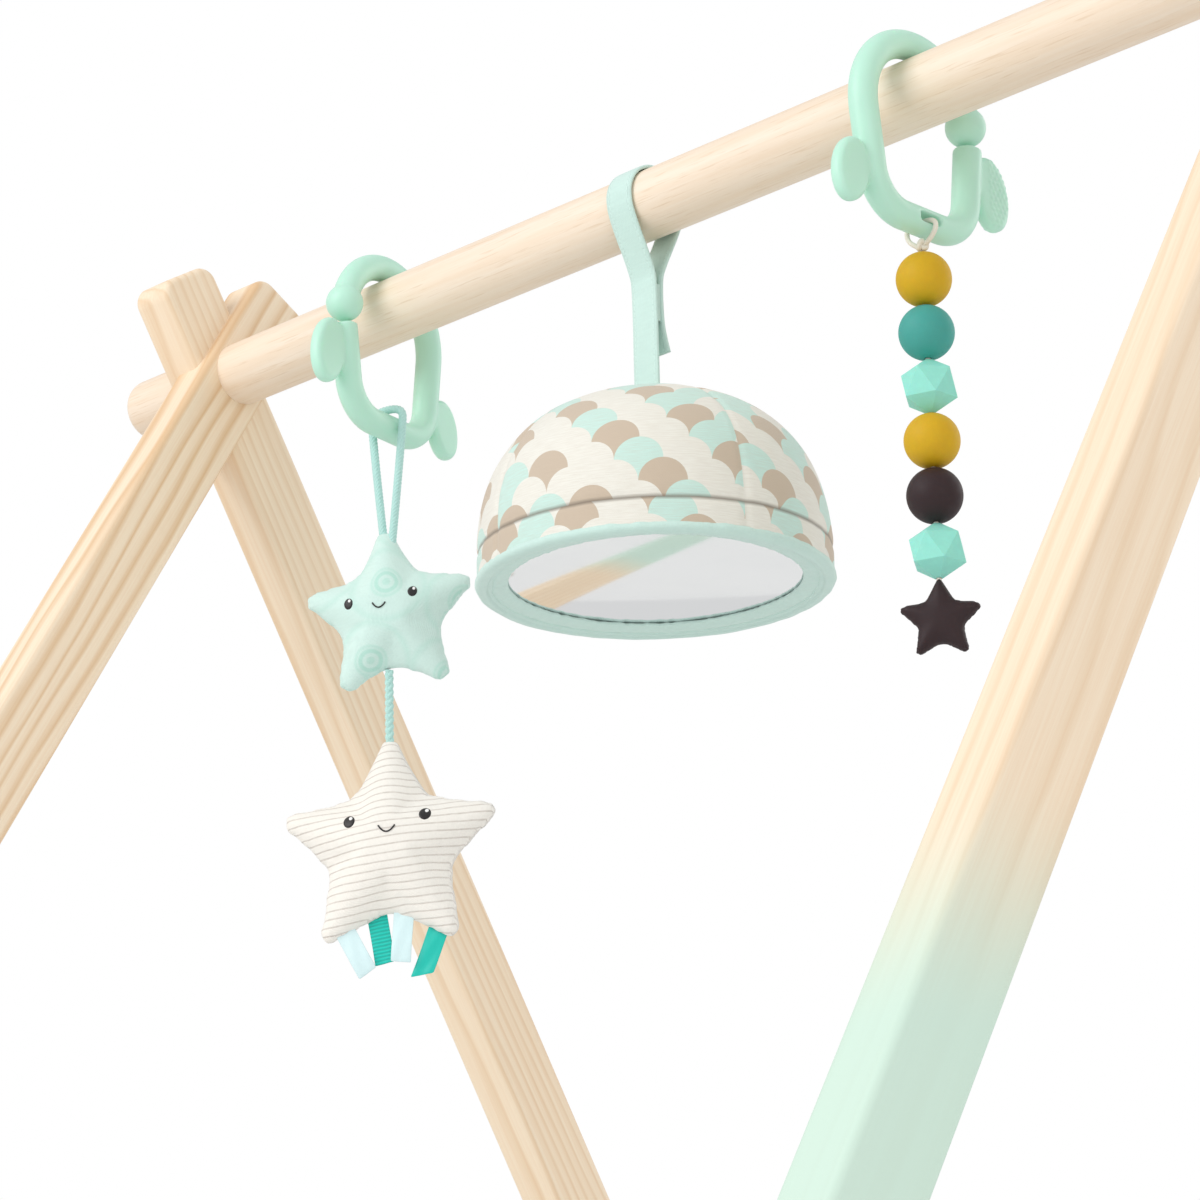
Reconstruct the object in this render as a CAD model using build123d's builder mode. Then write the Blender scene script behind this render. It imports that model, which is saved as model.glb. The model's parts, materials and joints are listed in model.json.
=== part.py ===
from build123d import *
import os
from math import acos, atan2, cos, hypot, pi, radians, sin, sqrt, tan

os.makedirs("parts", exist_ok=True)

# Activity play gym: two crossed-leg frames, a round crossbar and three hanging toys.
# X runs along the crossbar, Y from front (-) to back (+), Z up.
# The origin is on the floor, midway between the feet.

# ---- driving dimensions, in millimetres and degrees ----
bar_diameter = 25.0          # crossbar
bar_height = 540.0           # crossbar axis above the floor
bar_overhang = 35.0          # crossbar past the outer leg, at each end
bar_end_radius = 6.0         # rounding of the crossbar's ends
clear_span = 520.0           # between the inner faces of the two frames

leg_width = 30.0             # across the leg, seen along the crossbar
leg_thickness = 20.0         # along the crossbar
leg_lean = 31.4              # from upright
leg_top = 46.0               # past the crossbar axis, along the leg
leg_edge_radius = 3.0        # along the leg
leg_corner_radius = 7.0      # at the leg's upper end
lap_offset = 6.0             # outer leg's inner face behind the inner leg's

left_ring_x = -173.0         # where the toys hang
left_ring_turn = 11.0        # the left ring's plane, turned from straight across the crossbar
dome_x = -33.0
right_ring_x = 96.0

ring_tube = 10.2             # diameter of the ring's round section
ring_radius = 27.2           # top of the ring, to the section's centre
ring_drop = 64.9             # top to bottom, between the section's centres
ring_corner_radius = 15.0
ring_taper = 7.0             # lean of the ring's sides
ring_gap = 1.4               # mouth of the ring
ring_bulb_radius = 7.2
ring_bar_clearance = 0.3
wing_thickness = 5.6
wing_edge_radius = 2.2
wing_tilt = 12.0
mouth_wing = (8.5, 13.5)     # half width, half height
mouth_wing_place = (37.2, -17.0)
far_wing = (8.0, 12.0)
far_wing_place = (-35.4, -28.4)
slot_length = 11.0
slot_height = 3.6
slot_corner_drop = 5.5       # the bead cord's corners below the slot

toy_turn = 35.0              # the stars' faces, turned from the crossbar
loop_cord_diameter = 3.2
link_cord_diameter = 3.4
bead_cord_diameter = 1.8
cord_clearance = 0.3
bead_cord_margin = 0.1       # more clearance for the bead cord
strand_gap = 0.2             # between the loop cord's two ends
sewn_depth = 6.0             # cord or strap held inside a seam

cover_thickness = 1.2
small_star_drop = 122.6      # centre below the crossbar axis
small_star_radius = 38.0
small_star_thickness = 20.0
big_star_radius = 46.7
big_star_thickness = 24.0
star_gap = 28.0              # between the two stars
star_waist = 0.52            # inner corners, as a share of the outer radius
star_tip_radius = 4.0
star_corner_radius = 5.0
star_edge_radius = 2.5
link_clearance = 1.0         # between the small star's seam and the link cord
tag_width = 8.0
tag_thickness = 1.2
tag_length = 19.0
tag_layer = 1.8              # between the two rows of tags
tag_sewn = 3.0

strap_width = 13.0
strap_thickness = 1.6
strap_clearance = 0.4
strap_join_drop = 30.0       # where the two runs meet, below the crossbar axis
strap_tail_drop = 57.0       # end of the free tail
strap_tail_reach = 3.5
strap_bend_radius = 8.0
strap_tail_bend = 4.0        # below the patches, where the tail turns out
patch_length = 14.0          # hook and loop patches
patch_thickness = 0.7
patch_margin = 1.0           # at each side of a patch
patch_drop = 2.0             # below where the two runs meet

dome_radius = 63.0
dome_top_drop = 75.0         # crown below the crossbar axis
dome_height = 58.0           # crown to the seam above the band
dome_fullness = 0.64         # 0.55 is an ellipse, more is squarer
band_height = 9.0
dome_cloth = 1.5
rim_half_width = 3.1         # of the padded binding's section
rim_half_height = 1.9
rim_inset = 2.4              # section's centre, inside the dome's radius
mirror_radius = 55.0
mirror_thickness = 2.0
mirror_opening = 52.5        # radius of the hole in the facing ring
facing_thickness = 1.5
backing_thickness = 2.5
backing_margin = 2.5

bead_diameter = 19.0
bead_gap = 0.3
bead_bore = 2.4
gem_radius = 10.4            # facetted bead, to its corners
knot_radius = 2.4
knot_gap = 1.1               # between the ring and the knot
knot_side = 1.2              # the cord's end in the knot, off its middle
bead_cord_start = 1.0        # above the bottom of the star's bore
knot_entry = 1.0             # below the knot's middle
bead_star_radius = 15.7
bead_star_tip = 1.6
bead_star_corner = 2.0
bead_star_thickness = 9.0
bead_star_edge = 1.2
bead_star_bore = 14.0

# ---- derived places ----
lap_depth = (leg_thickness - lap_offset) / 2
frame_depth = leg_thickness + lap_offset
bar_length = clear_span + 2 * (frame_depth + bar_overhang)
leg_reach = bar_height / cos(radians(leg_lean)) + leg_width
ring_top = bar_height + bar_diameter / 2 + ring_bar_clearance + ring_tube / 2
ring_bottom = ring_top - ring_drop
toy_right = (cos(radians(toy_turn)), sin(radians(toy_turn)), 0)
toy_front = (sin(radians(toy_turn)), -cos(radians(toy_turn)), 0)


def finish(piece, name):
    """Label a finished piece and write its file."""
    piece.label = name
    export_step(piece, f"parts/{name}.step")


# ---- the wooden frame ----
with BuildPart() as crossbar:
    with BuildSketch(Plane.YZ.offset(-bar_length / 2)):
        with Locations((0, bar_height)):
            Circle(bar_diameter / 2)
    extrude(amount=bar_length)
    fillet(crossbar.edges().filter_by(GeomType.CIRCLE), bar_end_radius)
finish(crossbar.part, "crossbar")


def leg_plane(x, tilt):
    """A plane across the crossbar, with its Y axis up a leg: tilt is 1 at the front, -1 at the back."""
    lean = radians(leg_lean * tilt)
    return Plane(origin=(x, 0, bar_height), x_dir=(0, cos(lean), -sin(lean)), z_dir=(1, 0, 0))


def make_leg(side, tilt, is_inner):
    """One leg, lapped into the leg that it crosses. side is -1 at the left and 1 at the right."""
    inner_face = side * clear_span / 2
    near_face = inner_face if is_inner else inner_face + side * lap_offset
    lap_face = inner_face + side * (lap_offset + lap_depth)
    cut_way = side if is_inner else -side
    with BuildPart() as leg:
        with BuildSketch(leg_plane(near_face + side * leg_thickness / 2, tilt)) as outline:
            with Locations((0, (leg_top - leg_reach) / 2)):
                Rectangle(leg_width, leg_top + leg_reach)
            fillet(outline.vertices().sort_by(Axis.Y)[-2:], leg_corner_radius)
        extrude(amount=leg_thickness / 2, both=True)
        flats = leg.faces().sort_by(Axis.X)
        fillet(flats[0].edges() + flats[-1].edges(), leg_edge_radius)
        with BuildSketch(leg_plane(lap_face, -tilt)):
            Rectangle(leg_width, 2 * leg_reach)
        extrude(amount=cut_way * leg_thickness, mode=Mode.SUBTRACT)
        with BuildSketch(Plane.YZ.offset(inner_face)):
            with Locations((0, bar_height)):
                Circle(bar_diameter / 2)
        extrude(amount=frame_depth, both=True, mode=Mode.SUBTRACT)
        split(bisect_by=Plane.XY, keep=Keep.TOP)
    return leg.part


finish(make_leg(-1, 1, True), "left_front_leg")
finish(make_leg(-1, -1, False), "left_back_leg")
finish(make_leg(1, 1, False), "right_front_leg")
finish(make_leg(1, -1, True), "right_back_leg")


# ---- the link rings ----
def make_wings(plane):
    """The two leaf wings of a ring, as one solid each."""
    with BuildPart() as wings:
        with BuildSketch(plane):
            with Locations(mouth_wing_place):
                Ellipse(*mouth_wing, rotation=wing_tilt)
            with Locations(far_wing_place):
                Ellipse(*far_wing, rotation=-wing_tilt)
        extrude(amount=wing_thickness / 2, both=True)
        fillet(wings.faces().filter_by(plane).edges(), wing_edge_radius)
    return wings.part


def make_ring(x, turn, mouth, has_slot):
    """A C-shaped ring on the crossbar with a leaf wing at each side. mouth: 1 at the back, -1 at the front."""
    across = (mouth * cos(radians(turn)), mouth * sin(radians(turn)), 0)
    along = (-mouth * sin(radians(turn)), mouth * cos(radians(turn)), 0)
    plane = Plane(origin=(x, 0, ring_top - ring_radius), x_dir=along, z_dir=across)
    taper = radians(ring_taper)
    side = (ring_radius * cos(taper), -ring_radius * sin(taper))
    foot_y = ring_radius - ring_drop
    foot = (side[0] - (side[1] - foot_y) * tan(taper), foot_y)
    bulb_y = side[1] + ring_gap + ring_bulb_radius
    bulb = (sqrt(ring_radius**2 - bulb_y**2), bulb_y)
    wings = make_wings(plane)
    with BuildPart() as ring:
        with BuildLine(plane) as hook:
            ThreePointArc(bulb, (0, ring_radius), (-side[0], side[1]))
            FilletPolyline(
                (-side[0], side[1]), (-foot[0], foot[1]), foot, side, radius=ring_corner_radius
            )
        path = hook.wire()
        with BuildSketch(Plane(origin=path @ 0, z_dir=path % 0)):
            Circle(ring_tube / 2)
        sweep(path=path)
        with Locations(path @ 0):
            Sphere(ring_bulb_radius)
        add(wings)
        if has_slot:
            with BuildSketch(Plane.YZ.offset(x)):
                with Locations((0, ring_bottom)):
                    SlotOverall(slot_length, slot_height)
            extrude(amount=ring_tube, both=True, mode=Mode.SUBTRACT)
    return ring.part


finish(make_ring(left_ring_x, left_ring_turn, -1, False), "left_link_ring")
finish(make_ring(right_ring_x, 0, 1, True), "right_link_ring")


# ---- the plush stars ----
def star_corners(radius):
    """The ten corners of a five-pointed star, from the top one on."""
    steps = range(10)
    lengths = [radius if step % 2 == 0 else star_waist * radius for step in steps]
    angles = [radians(90 + 36 * step) for step in steps]
    return [(length * cos(angle), length * sin(angle)) for length, angle in zip(lengths, angles)]


def rounded_loss(radius, corner, fillet_radius):
    """How far a fillet moves a star's corner: corner is 0 for a tip, 1 for an inner corner."""
    points = star_corners(radius)
    here, ahead = points[corner], points[corner + 1]
    run = (ahead[0] - here[0], ahead[1] - here[1])
    centre_way = (-here[0], -here[1])
    between = (run[0] * centre_way[0] + run[1] * centre_way[1]) / (hypot(*run) * hypot(*centre_way))
    half_angle = acos(between) if corner == 0 else pi - acos(between)
    return fillet_radius * (1 / sin(half_angle) - 1)


def star_tip(radius, tip_radius):
    """The rounded tip's distance from the star's centre."""
    return radius - rounded_loss(radius, 0, tip_radius)


def star_crotch(radius, corner_radius):
    """The rounded inner corner's distance from the star's centre."""
    return star_waist * radius + rounded_loss(radius, 1, corner_radius)


def star_plane(x, z):
    """The plane of a star that faces forward and to the right."""
    return Plane(origin=(x, 0, z), x_dir=toy_right, z_dir=toy_front)


def make_star(plane, radius, thickness, tip, corner, edge, inset, cuts):
    """A star with rounded corners. inset shrinks it all round, and cuts are taken out of it."""
    with BuildPart() as star:
        with BuildSketch(plane) as outline:
            with BuildLine():
                FilletPolyline(*star_corners(radius), radius=[tip, corner] * 5, close=True)
            make_face()
            if inset:
                offset(amount=-inset)
        extrude(amount=thickness / 2 - inset, both=True)
        fillet(star.faces().filter_by(plane).edges(), edge)
        for cut in cuts:
            add(cut, mode=Mode.SUBTRACT)
    return star.part


def make_plush(name, plane, radius, thickness, cuts):
    """A plush star: its stuffing, and the cover sewn round it."""
    shape = (plane, radius, thickness, star_tip_radius, star_corner_radius)
    solid = make_star(*shape, star_edge_radius, 0, [])
    stuffing = make_star(*shape, star_edge_radius - cover_thickness, cover_thickness, [])
    for piece, filling in (("cover", [stuffing]), ("stuffing", [])):
        with BuildPart() as layer:
            add(solid if piece == "cover" else stuffing)
            for cut in filling + cuts:
                add(cut, mode=Mode.SUBTRACT)
        finish(layer.part, f"{name}_{piece}")


small_star_z = bar_height - small_star_drop
small_star_top = small_star_z + star_tip(small_star_radius, star_tip_radius)
small_star_bottom = small_star_z - star_crotch(small_star_radius, star_corner_radius)
big_star_top = small_star_bottom - star_gap
big_star_z = big_star_top - star_tip(big_star_radius, star_tip_radius)


def tube(path, diameter):
    """A round cord along a path."""
    with BuildPart() as cord:
        with BuildSketch(Plane(origin=path @ 0, z_dir=path % 0)):
            Circle(diameter / 2)
        sweep(path=path)
    section = pi * diameter**2 / 4
    tube = section * path.length
    print(f"cord: length {path.length:.1f}, volume {cord.part.volume:.1f}, tube {tube:.1f}")
    return cord.part


# The star's cord is a loop over the ring's bottom bar: two straight strands and one arc.
loop_radius = ring_tube / 2 + cord_clearance + loop_cord_diameter / 2
loop_foot = ((loop_cord_diameter + strand_gap) / 2, small_star_top - sewn_depth - ring_bottom)
loop_lean = acos(loop_radius / hypot(*loop_foot)) + atan2(loop_foot[1], loop_foot[0])
loop_side = (loop_radius * cos(loop_lean), loop_radius * sin(loop_lean))
loop_across = (cos(radians(left_ring_turn)), sin(radians(left_ring_turn)), 0)
loop_front = (sin(radians(left_ring_turn)), -cos(radians(left_ring_turn)), 0)
loop_plane = Plane(origin=(left_ring_x, 0, ring_bottom), x_dir=loop_across, z_dir=loop_front)
with BuildLine(loop_plane) as loop_line:
    Line((-loop_foot[0], loop_foot[1]), (-loop_side[0], loop_side[1]))
    ThreePointArc((-loop_side[0], loop_side[1]), (0, loop_radius), loop_side)
    Line(loop_side, loop_foot)
loop_cord = tube(loop_line.wire(), loop_cord_diameter)
finish(loop_cord, "star_loop_cord")

with BuildLine() as link_line:
    Line(
        (left_ring_x, 0, small_star_bottom - link_clearance),
        (left_ring_x, 0, big_star_top - sewn_depth),
    )
link_cord = tube(link_line.wire(), link_cord_diameter)
finish(link_cord, "star_link_cord")

# Each tag: its place along the bottom seam, its lean, and its row.
tags = {
    "tag_pale_left": (-16.0, 28.0, 0.5),
    "tag_teal_left": (-5.0, 9.0, -0.5),
    "tag_pale_right": (5.0, -4.0, 0.5),
    "tag_teal_right": (17.0, -21.0, -0.5),
}
big_plane = star_plane(left_ring_x, big_star_z)
seam_slope = (cos(radians(36)) - star_waist) / sin(radians(36))
tag_parts = []
for tag_name, (along, lean, row) in tags.items():
    seam = -star_crotch(big_star_radius, star_corner_radius) - abs(along) * seam_slope
    reach = tag_length / 2 - tag_sewn
    with BuildPart() as tag:
        with BuildSketch(big_plane.offset(row * tag_layer)):
            with Locations((along + reach * sin(radians(lean)), seam - reach * cos(radians(lean)))):
                Rectangle(tag_width, tag_length, rotation=lean)
        extrude(amount=tag_thickness / 2, both=True)
    tag_parts.append(tag.part)
    finish(tag.part, tag_name)

small_plane = star_plane(left_ring_x, small_star_z)
make_plush("small_star", small_plane, small_star_radius, small_star_thickness, [loop_cord])
make_plush("big_star", big_plane, big_star_radius, big_star_thickness, [link_cord] + tag_parts)


# ---- the mirror dome ----
crown = bar_height - dome_top_drop
seam_z = crown - dome_height
base_z = seam_z - band_height
dome_axis = Axis((dome_x, 0, 0), (0, 0, 1))

# The strap goes up the front, over the crossbar and down the back, where it is patched to itself.
strap_radius = bar_diameter / 2 + strap_clearance + strap_thickness / 2
run_y = strap_thickness / 2 + patch_thickness
strap_lean = atan2(-strap_join_drop, run_y) + acos(strap_radius / hypot(run_y, strap_join_drop))
strap_side = (strap_radius * cos(strap_lean), strap_radius * sin(strap_lean))
with BuildPart() as strap:
    with BuildSketch(Plane(origin=(dome_x, 0, bar_height), x_dir=(0, 1, 0), z_dir=(1, 0, 0))):
        with BuildLine():
            FilletPolyline(
                (-run_y, -dome_top_drop - sewn_depth),
                (-run_y, -strap_join_drop),
                (-strap_side[0], strap_side[1]),
                radius=strap_bend_radius,
            )
            ThreePointArc((-strap_side[0], strap_side[1]), (0, strap_radius), strap_side)
            FilletPolyline(
                strap_side,
                (run_y, -strap_join_drop),
                (run_y, -strap_join_drop - patch_length - strap_tail_bend),
                (run_y + strap_tail_reach, -strap_tail_drop),
                radius=strap_bend_radius,
            )
        trace(line_width=strap_thickness)
    extrude(amount=strap_width / 2, both=True)
finish(strap.part, "mirror_strap")

patch_z = bar_height - strap_join_drop - patch_drop - patch_length / 2
for patch_name, way in (("strap_hook_patch", -1), ("strap_loop_patch", 1)):
    with BuildPart() as patch:
        with BuildSketch(Plane.YZ.offset(dome_x)):
            with Locations((way * patch_thickness / 2, patch_z)):
                Rectangle(patch_thickness, patch_length)
        extrude(amount=strap_width / 2 - patch_margin, both=True)
    finish(patch.part, patch_name)


def turned(*profile):
    """A ring or disc turned about the dome's axis: profile is its corners, as radius and height."""
    with BuildPart() as disc:
        with BuildSketch(Plane(origin=(dome_x, 0, 0), x_dir=(1, 0, 0), z_dir=(0, -1, 0))):
            with BuildLine():
                Polyline(*profile, close=True)
            make_face()
        revolve(axis=dome_axis)
    return disc.part


def dome_layer(inset, wall):
    """The solid dome, shrunk by inset, with a straight wall of this height under its seam."""
    radius, height = dome_radius - inset, dome_height - inset
    with BuildPart() as layer:
        with BuildSketch(Plane(origin=(dome_x, 0, seam_z), x_dir=(1, 0, 0), z_dir=(0, -1, 0))):
            with BuildLine():
                Bezier(
                    (radius, 0), (radius, dome_fullness * height),
                    (dome_fullness * radius, height), (0, height),
                )
                Polyline((0, height), (0, 0), (radius, 0))
            make_face()
            if wall:
                Rectangle(radius, wall, align=(Align.MIN, Align.MAX))
        revolve(axis=dome_axis)
    return layer.part


backing_top = base_z + mirror_thickness + backing_thickness
backing_radius = mirror_radius + backing_margin
wall_inside = dome_radius - dome_cloth

with BuildPart() as dome_cover:
    add(dome_layer(0, 0))
    add(dome_layer(dome_cloth, 0), mode=Mode.SUBTRACT)
    add(strap.part, mode=Mode.SUBTRACT)
finish(dome_cover.part, "dome_cover")

backing_space = turned(
    (0, base_z), (backing_radius, base_z), (backing_radius, backing_top), (0, backing_top)
)

with BuildPart() as dome_padding:
    add(dome_layer(dome_cloth, band_height))
    add(backing_space, mode=Mode.SUBTRACT)
    add(strap.part, mode=Mode.SUBTRACT)
finish(dome_padding.part, "dome_padding")

facing_z = base_z - facing_thickness
mirror_top = base_z + mirror_thickness


def washer(inner, outer, low, high):
    """A flat ring about the dome's axis, or a disc where inner is 0."""
    return turned((inner, low), (outer, low), (outer, high), (inner, high))


finish(washer(wall_inside, dome_radius, facing_z, seam_z), "dome_band")
finish(washer(0, mirror_radius, base_z, mirror_top), "mirror_plate")
finish(washer(0, backing_radius, mirror_top, backing_top), "mirror_backing")
finish(washer(mirror_opening, wall_inside, facing_z, base_z), "mirror_facing")

with BuildPart() as rim_binding:
    with BuildSketch(Plane(origin=(dome_x, 0, facing_z), x_dir=(1, 0, 0), z_dir=(0, -1, 0))):
        with Locations((dome_radius - rim_inset, 0)):
            Ellipse(rim_half_width, rim_half_height)
    revolve(axis=dome_axis)
    add(washer(0, dome_radius, facing_z, seam_z), mode=Mode.SUBTRACT)
finish(rim_binding.part, "rim_binding")


# ---- the bead string ----
knot_z = ring_bottom - ring_tube / 2 - knot_gap - knot_radius
bead_pitch = bead_diameter + bead_gap
first_bead_z = knot_z - knot_radius - bead_gap - bead_diameter / 2
bead_names = (
    "bead_mustard_top", "bead_teal", "bead_gem_top", "bead_mustard_low", "bead_plum", "bead_gem_low",
)
bead_star_z = (
    first_bead_z - len(bead_names) * bead_pitch + bead_diameter / 2
    - star_tip(bead_star_radius, bead_star_tip)
)
bore_top = bead_star_z + bead_star_radius


def bore(low, high):
    """The hole for the bead cord between two heights."""
    with BuildPart() as hole:
        with BuildSketch(Plane.XY.offset(low)):
            with Locations((right_ring_x, 0)):
                Circle(bead_bore / 2)
        extrude(amount=high - low)
    return hole.part


def gem_normals():
    """The outward directions of an icosahedron's twenty faces, with a corner straight up."""
    steep, shallow = acos((5 + 2 * sqrt(5)) ** 0.5 / 15**0.5), acos((5 - 2 * sqrt(5)) ** 0.5 / 15**0.5)
    for turn in range(5):
        for tilt, offset_turn in ((steep, 0), (shallow, 0), (pi - steep, 36), (pi - shallow, 36)):
            angle = radians(72 * turn + offset_turn + toy_turn)
            yield Vector(sin(tilt) * cos(angle), sin(tilt) * sin(angle), cos(tilt))


for bead_index, bead_name in enumerate(bead_names):
    bead_z = first_bead_z - bead_index * bead_pitch
    centre = Vector(right_ring_x, 0, bead_z)
    with BuildPart() as bead:
        with Locations(centre):
            if "gem" in bead_name:
                Box(3 * gem_radius, 3 * gem_radius, bead_diameter)  # room for the corners
            else:
                Sphere(bead_diameter / 2)
        if "gem" in bead_name:
            face_distance = gem_radius * sqrt((5 + 2 * sqrt(5)) / 15)
            for normal in gem_normals():
                face = Plane(origin=centre + normal * face_distance, z_dir=normal)
                split(bisect_by=face, keep=Keep.BOTTOM)
        add(bore(bead_z - bead_diameter, bead_z + bead_diameter), mode=Mode.SUBTRACT)
    finish(bead.part, bead_name)

bead_star = make_star(
    star_plane(right_ring_x, bead_star_z), bead_star_radius, bead_star_thickness,
    bead_star_tip, bead_star_corner, bead_star_edge, 0, [bore(bore_top - bead_star_bore, bore_top)],
)
finish(bead_star, "bead_star")

# The bead cord: up through the beads, out at the knot, through the ring's slot and back to the knot.
loop_x = ring_tube / 2 + cord_clearance + bead_cord_diameter / 2 + bead_cord_margin
route = [
    (right_ring_x, 0, bore_top - bead_star_bore + bead_cord_start),
    (right_ring_x, 0, knot_z - knot_entry),
    (right_ring_x - loop_x, 0, ring_bottom - slot_corner_drop),
    (right_ring_x - loop_x, 0, ring_bottom),
    (right_ring_x + loop_x, 0, ring_bottom),
    (right_ring_x + loop_x, 0, ring_bottom - slot_corner_drop),
    (right_ring_x + knot_side, 0, knot_z),
]
corner_radii = []
for before, here, after in zip(route, route[1:], route[2:]):
    run_in, run_out = Vector(here) - Vector(before), Vector(after) - Vector(here)
    half_turn = radians(run_in.get_angle(run_out) / 2)
    corner_radii.append(0.45 * min(run_in.length, run_out.length) / tan(half_turn))
print("bead cord radii", [round(corner, 1) for corner in corner_radii])
with BuildLine() as bead_line:
    FilletPolyline(*route, radius=corner_radii)
bead_cord = tube(bead_line.wire(), bead_cord_diameter)
with BuildPart() as bead_knot:
    with Locations((right_ring_x, 0, knot_z)):
        Sphere(knot_radius)
    add(bead_cord, mode=Mode.SUBTRACT)
finish(bead_cord, "bead_cord")
finish(bead_knot.part, "bead_knot")
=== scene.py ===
import json
import math

import bmesh
import bpy
import numpy as np
from bpy.props import FloatProperty, FloatVectorProperty, PointerProperty
from mathutils import Matrix, Vector, noise
from mathutils.bvhtree import BVHTree
from mathutils.geometry import delaunay_2d_cdt


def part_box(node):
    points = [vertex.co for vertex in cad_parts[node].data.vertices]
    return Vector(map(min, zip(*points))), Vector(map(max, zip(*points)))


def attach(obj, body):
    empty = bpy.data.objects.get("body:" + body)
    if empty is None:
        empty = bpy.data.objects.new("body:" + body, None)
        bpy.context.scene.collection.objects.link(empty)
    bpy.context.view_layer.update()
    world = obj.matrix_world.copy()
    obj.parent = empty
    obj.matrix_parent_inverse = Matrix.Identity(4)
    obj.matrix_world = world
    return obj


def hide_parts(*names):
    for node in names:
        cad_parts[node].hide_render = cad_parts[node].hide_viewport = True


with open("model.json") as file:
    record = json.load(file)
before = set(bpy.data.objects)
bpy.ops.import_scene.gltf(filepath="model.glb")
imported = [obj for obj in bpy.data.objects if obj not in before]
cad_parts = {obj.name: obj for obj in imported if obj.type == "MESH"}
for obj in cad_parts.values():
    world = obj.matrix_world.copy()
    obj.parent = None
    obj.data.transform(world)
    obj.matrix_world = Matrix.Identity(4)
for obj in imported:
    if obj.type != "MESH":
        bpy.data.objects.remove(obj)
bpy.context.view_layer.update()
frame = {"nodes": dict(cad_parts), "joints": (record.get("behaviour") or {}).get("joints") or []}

bl_info = {
    "name": "Activity Play Gym",
    "version": (1, 0, 0),
    "blender": (4, 5, 0),
    "location": "View3D > Sidebar > Play Gym",
    "description": "Builds the cloth, cords, beads and finishes of a wooden activity play gym",
    "category": "Add Mesh",
}

MM = 0.001

# ---- places read from the frame ----
JOINTS = {joint["name"]: joint for joint in frame["joints"]}
BAR_LOW, BAR_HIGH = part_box("crossbar")
BAR_Z = (BAR_LOW.z + BAR_HIGH.z) / 2
LEFT_RING = Vector(JOINTS["small_star_swing"]["pos_m"])
RIGHT_RING = Vector(JOINTS["bead_string_swing"]["pos_m"])
TOY_FRONT = Vector(JOINTS["big_star_swing"]["axis"]).normalized()
TOY_RIGHT = Vector((-TOY_FRONT.y, TOY_FRONT.x, 0))
DOME_X = JOINTS["mirror_swing"]["pos_m"][0]


def middle(node):
    """The middle of a CAD node's box."""
    low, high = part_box(node)
    return (low + high) / 2


# =====================================================================
# Settings
# =====================================================================
def colour(code):
    """A linear colour with alpha from a six-figure code."""
    channels = [int(code[place:place + 2], 16) / 255 for place in (0, 2, 4)]
    linear = [value / 12.92 if value <= 0.04045 else ((value + 0.055) / 1.055) ** 2.4 for value in channels]
    return (*linear, 1.0)


def tint(code, label, words):
    """A colour property with its default."""
    return FloatVectorProperty(
        name=label, description=words, default=colour(code), size=4, min=0, max=1, subtype="COLOR"
    )


def length(value, label, words):
    """A length property with its default in metres."""
    return FloatProperty(name=label, description=words, default=value, min=0, unit="LENGTH")


class GymColours(bpy.types.PropertyGroup):
    """The gym's colours."""
    pine_light: tint("F6E4CB", "Pine", "Early wood between the growth lines")
    pine_line: tint("DDB88C", "Growth lines", "Late wood in the pine legs")
    birch: tint("F2E2D0", "Crossbar", "Smooth wood of the crossbar")
    dip: tint("CBE8DC", "Dipped paint", "Paint on the feet of the legs")
    ring_mint: tint("BDE8D5", "Link rings", "Moulded link rings")
    cord_aqua: tint("BDE6E0", "Star cords", "Braided cords of the stars")
    star_mint: tint("D3EDE6", "Small star", "Printed cloth of the small star")
    star_print: tint("A0DBCA", "Small star print", "Rings printed on the small star")
    star_white: tint("F7F3EC", "Big star", "Cloth of the big star")
    star_stripe: tint("B5A79D", "Big star stripes", "Stripes of the big star")
    ribbon_pale: tint("D6EFF2", "Pale ribbon", "Pale satin tags")
    ribbon_teal: tint("06C2B2", "Teal ribbon", "Ribbed teal tags")
    cloth_mint: tint("CBE6DE", "Mint cloth", "Strap, binding and facing of the mirror")
    scale_cream: tint("EEECE3", "Cream scales", "Print on the dome")
    scale_mint: tint("CBEAE1", "Mint scales", "Print on the dome")
    scale_taupe: tint("CCBBA7", "Taupe scales", "Print on the dome")
    mustard: tint("CFA513", "Mustard beads", "Mustard silicone")
    teal: tint("449F96", "Teal bead", "Teal silicone")
    aqua: tint("93DFCF", "Facetted beads", "Aqua silicone")
    plum: tint("2E1D20", "Plum beads", "Plum silicone")
    thread_dark: tint("0C0508", "Eye thread", "Embroidery of the eyes")
    cord_white: tint("F1ECDF", "Bead cord", "White cord")


class GymSizes(bpy.types.PropertyGroup):
    """The sizes that the CAD frame doesn't hold."""
    growth_ring: length(4.4 * MM, "Growth ring", "Distance between growth lines")
    dip_height: length(0.192, "Dip height", "Middle of the paint's faded edge, above the floor")
    dip_fade: length(0.075, "Dip fade", "Height over which the paint fades out")
    stripe_pitch: length(2.85 * MM, "Stripe pitch", "Distance between the big star's stripes")
    scale_radius: length(8.5 * MM, "Scale radius", "Radius of a scale printed on the dome")
    weave: length(0.55 * MM, "Weave", "Distance between the threads of the cloth")
    floor_radius: length(0.95, "Floor radius", "Radius of the round floor")


def gym():
    """The scene's colours and sizes."""
    return bpy.context.scene.gym_colours, bpy.context.scene.gym_sizes


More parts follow.
